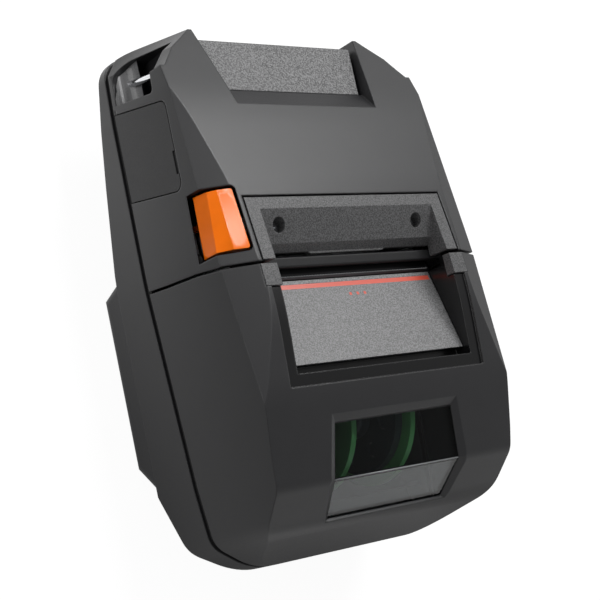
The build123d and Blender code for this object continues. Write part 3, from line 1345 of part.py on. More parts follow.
with BuildPart() as battery_case:
    join(side_prism(battery_line, BATTERY_HALF_WIDTH))
    side_edges = battery_case.edges().filter_by(lambda e: abs((e % 0.5).X) < 0.1)
    side_edges = side_edges.filter_by(lambda e: (e @ 0).Z < 0.1 or (e @ 1).Z < 0.1)
    fillet(side_edges, radius=BATTERY_EDGE_RADIUS)
    join(side_prism(rail_line, BATTERY_RAIL_HALF_WIDTH))
    cut(battery_hollow.part)
    cut(box_between((-CONTACT_HALF_WIDTH - LOOSE_GAP, CONTACT_Y[0] - LOOSE_GAP,
                     underside_z(0) + BATTERY_RAIL_HEIGHT - CONTACT_DROP),
                    (CONTACT_HALF_WIDTH + LOOSE_GAP, CONTACT_Y[1] + LOOSE_GAP, 30)))
    latch_half = BATTERY_LATCH_HALF_WIDTH + SEAT_GAP
    cut(box_between((-latch_half, BATTERY_LATCH_Y[0] - 2, BATTERY_LATCH_Z[0] - SEAT_GAP),
                    (latch_half, BATTERY_LATCH_Y[1] + 2, BATTERY_LATCH_Z[1] + SEAT_GAP)))

export(battery_case, "battery_case")

with BuildPart() as battery_cells:
    for x in (-CELL_X, 0.0, CELL_X):
        low = (x - CELL_WIDTH / 2, CELL_Y[0], CELL_Z[0])
        join(box_between(low, (x + CELL_WIDTH / 2, CELL_Y[1], CELL_Z[1])))
    fillet(battery_cells.edges().filter_by(Axis.Z), radius=2.0)

export(battery_cells, "battery_cells")

with BuildPart() as battery_latch:
    join(box_between((-BATTERY_LATCH_HALF_WIDTH, BATTERY_LATCH_Y[0], BATTERY_LATCH_Z[0]),
                     (BATTERY_LATCH_HALF_WIDTH, BATTERY_LATCH_Y[1], BATTERY_LATCH_Z[1])))
    fillet(battery_latch.edges().filter_by(Axis.Z).group_by(Axis.Y)[0], radius=1.2)

export(battery_latch, "battery_latch")

with BuildPart() as battery_contacts:
    contact_low = underside_z(0) + BATTERY_POCKET - CONTACT_DROP
    for index in range(CONTACT_COUNT):
        x = (index - (CONTACT_COUNT - 1) / 2) * CONTACT_PITCH
        low = (x - CONTACT_BLADE / 2, CONTACT_Y[0] + 1, contact_low)
        join(box_between(low, (x + CONTACT_BLADE / 2, CONTACT_Y[1] - 1, contact_low + CONTACT_DROP + 1)))
    join(box_between((-CONTACT_HALF_WIDTH, CONTACT_Y[0], contact_low + CONTACT_DROP),
                     (CONTACT_HALF_WIDTH, CONTACT_Y[1], contact_low + CONTACT_DROP + CONTACT_RISE)))

export(battery_contacts, "battery_contacts")

# Boards, sockets, buttons and lights
with BuildPart() as main_board:
    board_top = BOARD_Z + BOARD_THICKNESS
    join(box_between((BOARD_LEFT_X, BOARD_LOW_Y, BOARD_Z), (BOARD_RIGHT_X, BOARD_HIGH_Y, board_top)))
    for x, y in CASE_SCREWS:
        cut(rod((x, y, BOARD_Z - 1), (x, y, BOARD_Z + 3), FRONT_BOSS_RADIUS + LOOSE_GAP))
    for x, rise_y, width, length, height in BOARD_BLOCKS:
        y = BOARD_LOW_Y + rise_y
        join(box_between((x, y, board_top), (x + width, y + length, board_top + height)))

export(main_board, "main_board")

with BuildPart() as usb_socket:
    join(box_between((SOCKET_MOUTH_X, USB_Y - USB_WIDTH / 2, board_top),
                     (SOCKET_MOUTH_X + USB_LENGTH, USB_Y + USB_WIDTH / 2, board_top + USB_HEIGHT)))
    fillet(usb_socket.edges().filter_by(Axis.X), radius=1.2)
    mouth = (SOCKET_MOUTH_X - 1, USB_Y - USB_WIDTH / 2 + USB_WALL, board_top + USB_WALL)
    cut(box_between(mouth, (SOCKET_MOUTH_X + USB_LENGTH - 1.5, USB_Y + USB_WIDTH / 2 - USB_WALL,
                            board_top + USB_HEIGHT - USB_WALL)))
    join(box_between((SOCKET_MOUTH_X + 0.8, USB_Y - 2.8, board_top + USB_HEIGHT / 2 - 0.35),
                     (SOCKET_MOUTH_X + USB_LENGTH - 1, USB_Y + 2.8, board_top + USB_HEIGHT / 2 + 0.35)))

export(usb_socket, "usb_socket")

with BuildPart() as dc_socket:
    join(box_between((SOCKET_MOUTH_X, DC_Y - DC_WIDTH / 2, board_top),
                     (SOCKET_MOUTH_X + DC_LENGTH, DC_Y + DC_WIDTH / 2, board_top + DC_HEIGHT)))
    centre_z = board_top + DC_HEIGHT / 2
    end_x = SOCKET_MOUTH_X + DC_LENGTH - 1.5
    cut(rod((SOCKET_MOUTH_X - 1, DC_Y, centre_z), (end_x, DC_Y, centre_z), DC_BORE_RADIUS))
    join(rod((SOCKET_MOUTH_X + 1, DC_Y, centre_z), (end_x + 0.5, DC_Y, centre_z), 0.9))

export(dc_socket, "dc_socket")

with BuildPart() as button_board:
    board_end = BUTTON_BOARD_X + BUTTON_BOARD_THICKNESS
    low_y = min(BUTTON_YS.values()) - BUTTON_BOARD_END
    high_y = max(BUTTON_YS.values()) + BUTTON_BOARD_END
    join(box_between((BUTTON_BOARD_X, low_y, BUTTON_Z - BUTTON_RADIUS - BUTTON_BOARD_SIDE),
                     (board_end, high_y, LIGHT_Z + BUTTON_BOARD_SIDE)))
    for y in BUTTON_YS.values():
        join(rod((board_end - 0.5, y, BUTTON_Z), (board_end + DOME_HEIGHT, y, BUTTON_Z), DOME_RADIUS))

export(button_board, "button_board")

with BuildPart() as status_lights:
    for y in BUTTON_YS.values():
        join(rod((board_end, y, LIGHT_Z), (LIGHT_CAP_X, y, LIGHT_Z), LIGHT_RADIUS))

export(status_lights, "status_lights")

for button_name, button_y in BUTTON_YS.items():
    with BuildPart() as button:
        join(rod((BUTTON_FLANGE_X, button_y, BUTTON_Z), (BUTTON_CAP_X, button_y, BUTTON_Z), BUTTON_RADIUS))
        fillet(button.edges().filter_by(GeomType.CIRCLE).sort_by(Axis.X)[-1], radius=0.5)
        flange_end = BUTTON_FLANGE_X + BUTTON_FLANGE_THICKNESS
        join(rod((BUTTON_FLANGE_X, button_y, BUTTON_Z), (flange_end, button_y, BUTTON_Z),
                 BUTTON_RADIUS + BUTTON_FLANGE))
    export(button, button_name)

with BuildPart() as antenna_board:
    join(box_between((-NFC_HALF_WIDTH, NFC_LOW_Y, NFC_Z),
                     (NFC_HALF_WIDTH, NFC_HIGH_Y, NFC_Z + NFC_THICKNESS)))
    fillet(antenna_board.edges().filter_by(Axis.Z), radius=1.5)

export(antenna_board, "antenna_board")

# Roll bay: cradle, two guides that a pinion keeps centred, and their hubs
cradle_top = CRADLE_Z + CRADLE_THICKNESS
rack_low = cradle_top + RACK_LIFT
rack_high = rack_low + RACK_HEIGHT
foot_low = rack_high + LOOSE_GAP
PINION_PITCH_RADIUS = GEAR_MODULE * GUIDE_PINION_TEETH / 2

with BuildPart() as roll_cradle:
    join(box_between((-CRADLE_HALF_WIDTH, CRADLE_LOW_Y, CRADLE_Z),
                     (CRADLE_HALF_WIDTH, CRADLE_HIGH_Y, cradle_top)))
    for y in (CRADLE_LOW_Y, CRADLE_HIGH_Y - CRADLE_THICKNESS):
        join(box_between((-CRADLE_HALF_WIDTH, y, CRADLE_Z),
                         (CRADLE_HALF_WIDTH, y + CRADLE_THICKNESS, CRADLE_WALL_TOP_Z)))
    join(rod((0, ROLL_Y, CRADLE_Z), (0, ROLL_Y, rack_high), GUIDE_PINION_POST_RADIUS))

export(roll_cradle, "roll_cradle")

with BuildPart() as media_sensor:
    join(box_between((-5, CRADLE_HIGH_Y + SEAT_GAP, CRADLE_WALL_TOP_Z - 5.5),
                     (5, CRADLE_HIGH_Y + SEAT_GAP + 3.0, CRADLE_WALL_TOP_Z)))
    sensor_eyes = [(-2, CRADLE_HIGH_Y + 1.7), (2, CRADLE_HIGH_Y + 1.7)]
    for x, y in sensor_eyes:
        cut(rod((x, y, CRADLE_WALL_TOP_Z - 0.8), (x, y, CRADLE_WALL_TOP_Z + 1), 0.8))

export(media_sensor, "media_sensor")

with BuildPart() as guide_pinion:
    hub = Plane(origin=(0, ROLL_Y, rack_low), x_dir=(1, 0, 0), z_dir=(0, 0, 1))
    join(spur_gear(hub, GUIDE_PINION_TEETH, RACK_HEIGHT - 0.2, 90.0, GUIDE_PINION_POST_RADIUS + RUN_GAP))

export(guide_pinion, "guide_pinion")


def guide_rack(sign):
    """Rack of one guide: it leaves the foot inwards and passes the pinion on one side."""
    pitch_y = ROLL_Y - sign * -1 * PINION_PITCH_RADIUS
    side = 1 if pitch_y > ROLL_Y else -1
    tooth_pitch = math.pi * GEAR_MODULE
    far_x = -sign * (RACK_TEETH - RACK_LEAD_TEETH) * tooth_pitch
    near_x = sign * (GUIDE_FACE_X + GUIDE_THICKNESS)
    root_y = pitch_y + side * GEAR_MODULE
    with BuildPart() as rack:
        low_x, high_x = sorted((near_x, far_x))
        low_y, high_y = sorted((root_y, root_y + side * RACK_BAR))
        join(box_between((low_x, low_y, rack_low), (high_x, high_y, rack_high)))
        half = 0.3 * GEAR_MODULE
        foot_half = 0.86 * GEAR_MODULE
        tip_y = pitch_y - side * 0.8 * GEAR_MODULE
        for index in range(RACK_TEETH):
            x = -sign * (index + 0.5 - RACK_LEAD_TEETH) * tooth_pitch
            points = [(x - foot_half, root_y + side * 0.2), (x - half, tip_y), (x + half, tip_y)]
            points.append((x + foot_half, root_y + side * 0.2))
            extrude(outline_face(points, Plane.XY.offset(rack_low)), amount=RACK_HEIGHT, dir=(0, 0, 1))
    return rack.part


guide_sides = ((-1, "roll_guide_left", "roll_hub_left"), (1, "roll_guide_right", "roll_hub_right"))

for sign, guide_name, hub_name in guide_sides:
    face_x = sign * GUIDE_FACE_X
    back_x = sign * (GUIDE_FACE_X + GUIDE_THICKNESS)
    with BuildPart() as guide:
        join(rod((face_x, ROLL_Y, ROLL_Z), (back_x, ROLL_Y, ROLL_Z), GUIDE_RADIUS))
        ends = sorted((face_x, sign * (GUIDE_FACE_X + GUIDE_FOOT_LENGTH)))
        join(box_between((ends[0], ROLL_Y - GUIDE_FOOT_HALF_WIDTH, foot_low),
                         (ends[1], ROLL_Y + GUIDE_FOOT_HALF_WIDTH, foot_low + GUIDE_FOOT_HEIGHT)))
        for offset_y in (-1, 1):
            rib_y = ROLL_Y + offset_y * GUIDE_RIB_Y
            join(box_between((ends[0], rib_y - 1.1, foot_low),
                             (ends[1], rib_y + 1.1, foot_low + GUIDE_RIB_HEIGHT)))
        cut(box_between((-REACH, ROLL_Y - 40, -10), (REACH, ROLL_Y + 40, foot_low)))
        cut(rod((-REACH, ROLL_Y, ROLL_Z), (REACH, ROLL_Y, ROLL_Z), HUB_AXLE_RADIUS + RUN_GAP))
        pitch_y = ROLL_Y + sign * PINION_PITCH_RADIUS
        low_y, high_y = sorted((pitch_y + sign * GEAR_MODULE, pitch_y + sign * (GEAR_MODULE + RACK_BAR)))
        join(box_between((ends[0], low_y, rack_low), (ends[1], high_y, foot_low + 1)))
        join(guide_rack(sign))
    export(guide, guide_name)
    with BuildPart() as hub:
        disc_start = face_x - sign * HUB_SIDE_GAP
        disc_end = disc_start - sign * HUB_DISC_THICKNESS
        cone_end = disc_end - sign * HUB_CONE_LENGTH
        join(rod((disc_start, ROLL_Y, ROLL_Z), (disc_end, ROLL_Y, ROLL_Z), HUB_DISC_RADIUS))
        join(rod((disc_end, ROLL_Y, ROLL_Z), (cone_end, ROLL_Y, ROLL_Z), HUB_CONE_RADIUS))
        nose = hub.edges().filter_by(GeomType.CIRCLE).sort_by(Axis.X)
        fillet(nose[-1] if sign < 0 else nose[0], radius=2.0)
        join(rod((disc_start, ROLL_Y, ROLL_Z), (back_x + sign * 1.0, ROLL_Y, ROLL_Z), HUB_AXLE_RADIUS))
        for index in range(HUB_HOLE_COUNT):
            angle = math.radians(360 / HUB_HOLE_COUNT * index + 22.5)
            y = ROLL_Y + HUB_HOLE_CIRCLE * math.cos(angle)
            z = ROLL_Z + HUB_HOLE_CIRCLE * math.sin(angle)
            cut(rod((disc_end - sign, y, z), (disc_end + sign * 1.2, y, z), HUB_HOLE_RADIUS))
    export(hub, hub_name)

# Roll cover
RAMP_SLOPE = (RAMP_END[1] - RAMP_TOP[1]) / (RAMP_END[0] - RAMP_TOP[0])
RAMP_STRETCH = math.hypot(1, RAMP_SLOPE)


def ramp_z(y, below=0.0):
    """Height of the exit ramp's face at a station, or of a face below it."""
    return RAMP_TOP[1] + RAMP_SLOPE * (y - RAMP_TOP[0]) - below * RAMP_STRETCH


def window_step(lower, upper):
    """One panel of the window's bevelled opening between two rows of points."""
    with BuildPart() as panel:
        faces = []
        for reach in (-0.6, 2.2):
            corners = []
            for sight, rim in (lower, upper):
                corners.append(Vector(*sight) + (Vector(*rim) - Vector(*sight)) * reach)
            (first, second) = corners
            ring = [first, second]
            ring = ring + [Vector(-second.X, second.Y, second.Z), Vector(-first.X, first.Y, first.Z)]
            faces.append(Face(Wire.make_polygon(ring, close=True)))
        loft(sections=faces, ruled=True)
    return panel.part


well_depth = RAMP_THICKNESS + SEAT_GAP
well_line = [
    (10.0, FORM_TOP),
    (10.0, 60.0),
    (WELL_FRONT_Y, 60.0),
    (WELL_FRONT_Y, ramp_z(WELL_FRONT_Y, well_depth)),
    (RAMP_END[0], ramp_z(RAMP_END[0], well_depth)),
    (RAMP_END[0], ramp_z(RAMP_END[0], well_depth) - RAMP_CURB),
    (RAMP_WELL_END_Y, ramp_z(RAMP_END[0], well_depth) - RAMP_CURB),
    (RAMP_WELL_END_Y, FORM_TOP),
]
well_shell_line = [
    (WELL_FRONT_Y, FORM_TOP),
    (WELL_FRONT_Y, ramp_z(WELL_FRONT_Y, well_depth + WELL_FLOOR)),
    (RAMP_END[0] + 4, ramp_z(RAMP_END[0] + 4, well_depth + WELL_FLOOR) - 0.2),
    (RAMP_END[0] + 1.5, ramp_z(RAMP_END[0], well_depth + WELL_FLOOR) - RAMP_CURB),
    (RAMP_WELL_END_Y - 2.0, ramp_z(RAMP_END[0], well_depth + WELL_FLOOR) - RAMP_CURB),
    (RAMP_WELL_END_Y - 2.0, FORM_TOP),
]
glass_line = [GLASS_TOP, GLASS_FOLD, GLASS_LOW]
glass_room = [
    (GLASS_TOP[0] + SEAT_GAP, GLASS_TOP[1] + SEAT_GAP),
    (GLASS_FOLD[0], GLASS_FOLD[1] + SEAT_GAP),
    (GLASS_LOW[0] - SEAT_GAP, GLASS_LOW[1] + SEAT_GAP),
    (GLASS_LOW[0] + 7.0, GLASS_LOW[1] - 8.0),
    (GLASS_TOP[0] + SEAT_GAP, GLASS_LOW[1] - 8.0),
]
sight_rows = []
window_rows = ((SIGHT_TOP, RIM_TOP), (SIGHT_FOLD, RIM_FOLD), (SIGHT_LOW, RIM_LOW))
for (sight_x, sight_y), (rim_x, rim_y) in window_rows:
    sight_point = (sight_x, sight_y, height_on(glass_line, sight_y))
    sight_rows.append((sight_point, (rim_x, rim_y, front_z(rim_y))))

with BuildPart() as window_opening:
    join(window_step(sight_rows[0], sight_rows[1]))
    join(window_step(sight_rows[1], sight_rows[2]))

with BuildPart() as under_ledge:
    join(box_between((-RECESS_HALF_WIDTH - WALL, RECESS_END_Y - WALL, 70),
                     (RECESS_HALF_WIDTH + WALL, 10, FORM_TOP)))
    cut(outer_form(DEEP_SKIN))

with BuildPart() as cover_hollow:
    join(inner)
    cut(under_ledge.part)
    cut(side_prism(well_shell_line, RAMP_WELL_X + WELL_SIDE))
    for sign in (1, -1):
        ends = sorted((sign * (RAMP_WELL_X - 1), sign * (TAB_OUTER_X + TAB_FLOOR)))
        cut(box_between((ends[0], TAB_END_Y - TAB_FLOOR, TAB_SUPPORT_Z), (ends[1], 10, FORM_TOP)))

with BuildPart() as recess_room:
    join(box_between((-RECESS_HALF_WIDTH, RECESS_END_Y, 60), (RECESS_HALF_WIDTH, 10, FORM_TOP)))
    cut(outer_form(RECESS_STEP))

with BuildPart() as cover_tabs:
    for sign in (1, -1):
        ends = sorted((sign * TAB_INNER_X, sign * TAB_OUTER_X))
        join(box_between((ends[0], TAB_END_Y, front_z(TAB_END_Y) - TAB_DEPTH), (ends[1], 10, FORM_TOP)))
    keep_within(outer)
    keep_within(cover_region)

with BuildPart() as roll_cover:
    join(outer)
    keep_within(cover_region)
    cut(cover_hollow.part)
    cut(recess_room.part)
    cut(side_prism(well_line, RAMP_WELL_X))
    for sign in (1, -1):
        ends = sorted((sign * (TAB_INNER_X - 3), sign * (TAB_OUTER_X + SEAT_GAP)))
        low = (ends[0], TAB_END_Y - SEAT_GAP, front_z(TAB_END_Y) - TAB_DEPTH - SEAT_GAP)
        cut(box_between(low, (ends[1], 10, FORM_TOP)))
    cut(side_prism(glass_room, GLASS_HALF_WIDTH + SEAT_GAP))
    cut(window_opening.part)
    for sign in (1, -1):
        ends = sorted((sign * (KNUCKLE_X - KNUCKLE_LENGTH / 2), sign * (KNUCKLE_X + KNUCKLE_LENGTH / 2)))
        join(box_between((ends[0], -LENGTH / 2, HINGE_Z), (ends[1], -LENGTH / 2 + WALL, GAP_TOP + 0.4)))
        join(rod((ends[0], HINGE_Y, HINGE_Z), (ends[1], HINGE_Y, HINGE_Z), KNUCKLE_RADIUS))
    cut(rod((-REACH, HINGE_Y, HINGE_Z), (REACH, HINGE_Y, HINGE_Z), HINGE_PIN_RADIUS + RUN_GAP))

export(roll_cover, "roll_cover")
export(cover_tabs, "cover_tabs")

glass_slope = (GLASS_FOLD[1] - GLASS_TOP[1]) / (GLASS_FOLD[0] - GLASS_TOP[0])
glass_drop = GLASS_THICKNESS * math.hypot(1, glass_slope)
low_slope = (GLASS_LOW[1] - GLASS_FOLD[1]) / (GLASS_LOW[0] - GLASS_FOLD[0])
low_drop = GLASS_THICKNESS * math.hypot(1, low_slope)
fold_y = GLASS_FOLD[0] + (low_drop - glass_drop) / (low_slope - glass_slope)
fold_z = GLASS_FOLD[1] - glass_drop + glass_slope * (fold_y - GLASS_FOLD[0])
glass_plate_line = [
    GLASS_TOP,
    GLASS_FOLD,
    GLASS_LOW,
    (GLASS_LOW[0] + GLASS_THICKNESS * 0.7, GLASS_LOW[1] - low_drop + low_slope * GLASS_THICKNESS * 0.7),
    (fold_y, fold_z),
    (GLASS_TOP[0], GLASS_TOP[1] - glass_drop),
]

with BuildPart() as cover_window:
    join(side_prism(glass_plate_line, GLASS_HALF_WIDTH))

export(cover_window, "cover_window")

# Exit ramp with its red stripe and dots, and the tear bar
ramp_line = [
    RAMP_TOP,
    RAMP_END,
    (RAMP_END[0], ramp_z(RAMP_END[0], RAMP_THICKNESS)),
    (RAMP_TOP[0], ramp_z(RAMP_TOP[0], RAMP_THICKNESS)),
]
stripe_start = RAMP_TOP[0] - STRIPE_FROM_TOP / RAMP_STRETCH
stripe_end = stripe_start - STRIPE_WIDTH / RAMP_STRETCH
dot_y = RAMP_TOP[0] - DOT_FROM_TOP / RAMP_STRETCH
dot_half = DOT_SIZE / 2 / RAMP_STRETCH


def ramp_strip(start_y, end_y, depth):
    """Side outline of a shallow strip let into the ramp's face."""
    return [
        (start_y, ramp_z(start_y)),
        (end_y, ramp_z(end_y)),
        (end_y, ramp_z(end_y, depth)),
        (start_y, ramp_z(start_y, depth)),
    ]


with BuildPart() as ramp_stripe:
    join(side_prism(ramp_strip(stripe_start, stripe_end, STRIPE_DEPTH), STRIPE_HALF_LENGTH))

with BuildPart() as ramp_dots:
    for index in (-1, 0, 1):
        strip = ramp_strip(dot_y + dot_half, dot_y - dot_half, DOT_DEPTH)
        join(side_prism(strip, DOT_SIZE / 2, DOT_CENTRE_X + index * DOT_SPACING))

with BuildPart() as exit_ramp:
    join(side_prism(ramp_line, RAMP_WELL_X - SEAT_GAP))
    cut(ramp_stripe.part)
    cut(ramp_dots.part)

export(exit_ramp, "exit_ramp")
export(ramp_stripe, "ramp_stripe")
export(ramp_dots, "ramp_dots")

with BuildPart() as tear_bar:
    bar_y = WELL_FRONT_Y + SEAT_GAP
    join(box_between((-TEAR_BAR_HALF_LENGTH, bar_y, TEAR_BAR_TOP_Z - TEAR_BAR_DEPTH),
                     (TEAR_BAR_HALF_LENGTH, bar_y + TEAR_BAR_THICKNESS, TEAR_BAR_TOP_Z)))
    chamfer(tear_bar.edges().filter_by(Axis.X).group_by(Axis.Z)[-1].sort_by(Axis.Y)[0], length=0.6)

export(tear_bar, "tear_bar")

# Platen with its frame, bushes and gear
cheek_line = [
    (CHEEK_Y[0], CHEEK_BOTTOM_Z),
    (CHEEK_Y[1], CHEEK_BOTTOM_Z),
    (CHEEK_Y[1], ramp_z(CHEEK_Y[1], well_depth + WELL_FLOOR + SEAT_GAP)),
    (CHEEK_Y[0], ramp_z(CHEEK_Y[0], well_depth + WELL_FLOOR + SEAT_GAP)),
]
cross_line = [
    (CHEEK_Y[0] - CROSS_PLATE_THICKNESS, CHEEK_BOTTOM_Z),
    (CHEEK_Y[0], CHEEK_BOTTOM_Z),
    (CHEEK_Y[0], ramp_z(CHEEK_Y[0], well_depth + WELL_FLOOR + SEAT_GAP)),
    (CHEEK_Y[0] - CROSS_PLATE_THICKNESS,
     ramp_z(CHEEK_Y[0] - CROSS_PLATE_THICKNESS, well_depth + WELL_FLOOR + SEAT_GAP)),
]

with BuildPart() as platen_frame:
    for sign in (1, -1):
        join(side_prism(cheek_line, CHEEK_THICKNESS / 2, sign * (CHEEK_X + CHEEK_THICKNESS / 2)))
    join(side_prism(cross_line, CHEEK_X + CHEEK_THICKNESS))
    cut(rod((-REACH, PLATEN_Y, PLATEN_Z), (REACH, PLATEN_Y, PLATEN_Z), BUSH_RADIUS - 0.6 + SEAT_GAP))

export(platen_frame, "platen_frame")

with BuildPart() as platen_bushes:
    for sign in (1, -1):
        ends = sorted((sign * (CHEEK_X - 0.2), sign * (CHEEK_X + CHEEK_THICKNESS + 0.7)))
        join(rod((ends[0], PLATEN_Y, PLATEN_Z), (ends[1], PLATEN_Y, PLATEN_Z), BUSH_RADIUS - 0.6))
        cheek_face = CHEEK_X + CHEEK_THICKNESS
        flange = sorted((sign * (cheek_face + SEAT_GAP), sign * (cheek_face + 0.7)))
        join(rod((flange[0], PLATEN_Y, PLATEN_Z), (flange[1], PLATEN_Y, PLATEN_Z), BUSH_RADIUS))
    cut(rod((-REACH, PLATEN_Y, PLATEN_Z), (REACH, PLATEN_Y, PLATEN_Z), PLATEN_SHAFT_RADIUS + RUN_GAP))

export(platen_bushes, "platen_bushes")

with BuildPart() as platen_roller:
    join(rod((-PLATEN_HALF_LENGTH, PLATEN_Y, PLATEN_Z), (PLATEN_HALF_LENGTH, PLATEN_Y, PLATEN_Z),
             PLATEN_RADIUS))
    cut(rod((-REACH, PLATEN_Y, PLATEN_Z), (REACH, PLATEN_Y, PLATEN_Z), PLATEN_SHAFT_RADIUS + PLATEN_SEAT))

export(platen_roller, "platen_roller")

with BuildPart() as platen_shaft:
    join(rod((PLATEN_SHAFT_LEFT, PLATEN_Y, PLATEN_Z), (PLATEN_SHAFT_RIGHT, PLATEN_Y, PLATEN_Z),
             PLATEN_SHAFT_RADIUS))
    chamfer(platen_shaft.edges().filter_by(GeomType.CIRCLE), length=0.3)

export(platen_shaft, "platen_shaft")


def gear_plane(y, z):
    """Plane of the gear train at an axis, looking along +X."""
    return Plane(origin=(GEAR_X, y, z), x_dir=(0, 1, 0), z_dir=(1, 0, 0))


idler_phase = IDLER_ANGLE + 180 + 180 / IDLER_TEETH
idler_pitch = 360 / IDLER_TEETH
mesh_offset = (MOTOR_ANGLE - idler_phase + idler_pitch / 2) % idler_pitch - idler_pitch / 2
pinion_phase = MOTOR_ANGLE + 180 + mesh_offset * IDLER_TEETH / PINION_TEETH + 180 / PINION_TEETH

with BuildPart() as platen_gear:
    join(spur_gear(gear_plane(PLATEN_Y, PLATEN_Z), PLATEN_TEETH, GEAR_WIDTH, IDLER_ANGLE,
                   PLATEN_SHAFT_RADIUS + PLATEN_SEAT))

export(platen_gear, "platen_gear")

with BuildPart() as idler_gear:
    join(spur_gear(gear_plane(IDLER_Y, IDLER_Z), IDLER_TEETH, GEAR_WIDTH, idler_phase,
                   IDLER_AXLE_RADIUS + RUN_GAP))

export(idler_gear, "idler_gear")

with BuildPart() as motor_pinion:
    join(spur_gear(gear_plane(MOTOR_Y, MOTOR_Z), PINION_TEETH, GEAR_WIDTH, pinion_phase,
                   MOTOR_SHAFT_RADIUS - 0.5))
    shaft_start = CHASSIS_X - SEAT_GAP - MOTOR_SHAFT_SINK + LOOSE_GAP
    join(rod((shaft_start, MOTOR_Y, MOTOR_Z), (GEAR_X + GEAR_WIDTH, MOTOR_Y, MOTOR_Z), MOTOR_SHAFT_RADIUS))

export(motor_pinion, "motor_pinion")
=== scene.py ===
import json
import math

import bmesh
import bpy
from mathutils import Matrix, Vector


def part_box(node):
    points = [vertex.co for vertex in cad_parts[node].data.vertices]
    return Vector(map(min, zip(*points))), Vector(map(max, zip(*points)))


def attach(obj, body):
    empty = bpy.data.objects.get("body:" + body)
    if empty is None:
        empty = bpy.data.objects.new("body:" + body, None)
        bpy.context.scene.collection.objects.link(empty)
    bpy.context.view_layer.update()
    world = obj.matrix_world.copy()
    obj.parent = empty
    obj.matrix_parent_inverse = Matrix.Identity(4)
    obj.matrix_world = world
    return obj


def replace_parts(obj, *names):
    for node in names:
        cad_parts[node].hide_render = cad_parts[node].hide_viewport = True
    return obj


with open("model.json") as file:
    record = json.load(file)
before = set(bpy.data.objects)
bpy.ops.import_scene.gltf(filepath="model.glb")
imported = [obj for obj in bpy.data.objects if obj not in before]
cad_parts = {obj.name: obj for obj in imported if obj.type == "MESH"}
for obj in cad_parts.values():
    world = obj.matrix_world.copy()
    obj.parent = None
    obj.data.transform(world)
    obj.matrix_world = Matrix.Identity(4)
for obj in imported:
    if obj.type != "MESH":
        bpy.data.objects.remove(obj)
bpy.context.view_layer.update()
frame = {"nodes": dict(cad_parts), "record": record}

MM = 0.001

BODY_OF_NODE = {node: body
                for body, nodes in frame["record"]["behaviour"]["bodies"].items()
                for node in nodes}

# The photograph's viewpoint, in metres in the printer's frame
PHOTO_PIXELS = 600
FOCAL_PIXELS = 1436.0
SENSOR_MM = 36.0
EYE = Vector((-0.3290, -0.0875, 0.4349))
AHEAD = Vector((0.63578, 0.16471, -0.75409))
PHOTO_UP = Vector((0.06140, 0.96308, 0.26213))

# Studio: strength of the soft fill, and of the grey ceiling that shiny parts see over the white sweep.
# The edge gives the rise of a unit direction where the sweep ends, and where the ceiling is whole
AMBIENT = 0.55
CEILING = 0.32
CEILING_EDGE = (0.15, 0.55)

# Floor: its own grey, and the strength of its glow in the lens and in shiny parts.
# Shiny parts see it darker round a point near the tail, a painted shadow, and beside the printer, a painted
# falloff of light
FLOOR_HALF_SIZE = 3.0
FLOOR_GREY = 0.16
FLOOR_IN_LENS = 0.94
FLOOR_IN_GLOSS = 1.0
FLOOR_IN_SHADE = 0.12
SHADE_CENTRE = (0.03, -0.07, 0)
SHADE_EDGE = (0.07, 0.165)
FLOOR_PAINTED_FALLOFF = 0.25
PAINTED_FALLOFF_EDGE = (0.085, 0.12)

# Finishes: sizes of their patterns, and how far colour (fleck) and roughness (sheen) stray
CHARCOAL = (0.018, 0.018, 0.0195)
EDGE_SAMPLES = 6
GRAIN_SHEEN = 0.06
CLOUD_IN_GRAINS = 40
PEBBLE_SHEEN = 0.08
CROWN_IN_CELLS = 0.8
CROWN_BAND = (0.38, 0.62)
GRIT_IN_CELLS = 0.4
GRIT_HEIGHT = 0.4
COAT_ROUGHNESS = 0.12
RIPPLE_WIDTH = 4 * MM
RIPPLE_DEPTH = 0.012 * MM
RIPPLE_FLECK = 0.05
BRUSH_WIDTH = 0.4 * MM
BRUSH_DEPTH = 0.006 * MM
BRUSH_FLECK = 0.12
BRUSH_SHEEN = (-0.08, 0.1)
PANE_CLOUD = 9 * MM
PANE_SHEEN = 0.03

# Sunk floor of the roll cover round the ramp, seen from above
RECESS_HALF_X = 44.3 * MM
RECESS_Y = (-39.0 * MM, 4.0 * MM)

# How closely a solid's loose triangles are joined up again
MERGE_WITHIN = 0.004 * MM
FLAT_TURN = math.radians(0.3)
CUT_WITHIN = 0.0001 * MM

# Release lever's rounded edges
LEVER_ROUNDING = 0.5 * MM
LEVER_STEPS = 3
LEVER_LEAST_TURN = math.radians(8)

# Fold of the clear window, and the light grey bead on it, a painted highlight along the fold
WINDOW_FOLD_Y = -69.5 * MM
WINDOW_FOLD_Z = 75.9 * MM
BEAD_RADIUS = 0.28 * MM
BEAD_SIDES = 12

# Dished cheek at the low end of each strap pocket: rim points as (X, Z), then a quarter round
SCOOP_RIM = [(57.2 * MM, 39.2 * MM), (56.5 * MM, 39.2 * MM), (56.4 * MM, 39.6 * MM),
             (55.9 * MM, 39.6 * MM), (55.8 * MM, 39.2 * MM)]
SCOOP_RADIUS = 6.0 * MM
SCOOP_STEPS = 10
SCOOP_Y = (72.9 * MM, 87.2 * MM)
SCOOP_TRIM_POINT = (57.0 * MM, 76.0 * MM, 0)
SCOOP_TRIM_FACING = (0.95, 0.30, 0)
SCOOP_WALL = 0.3 * MM

# Teeth along the tear bar, and how far their strip stands off its far face and below its top
TOOTH_PITCH = 1.2 * MM
TOOTH_HEIGHT = 0.45 * MM
TOOTH_WALL = 0.12 * MM
TOOTH_STAND_OFF = 0.05 * MM
TOOTH_DROP = 0.1 * MM


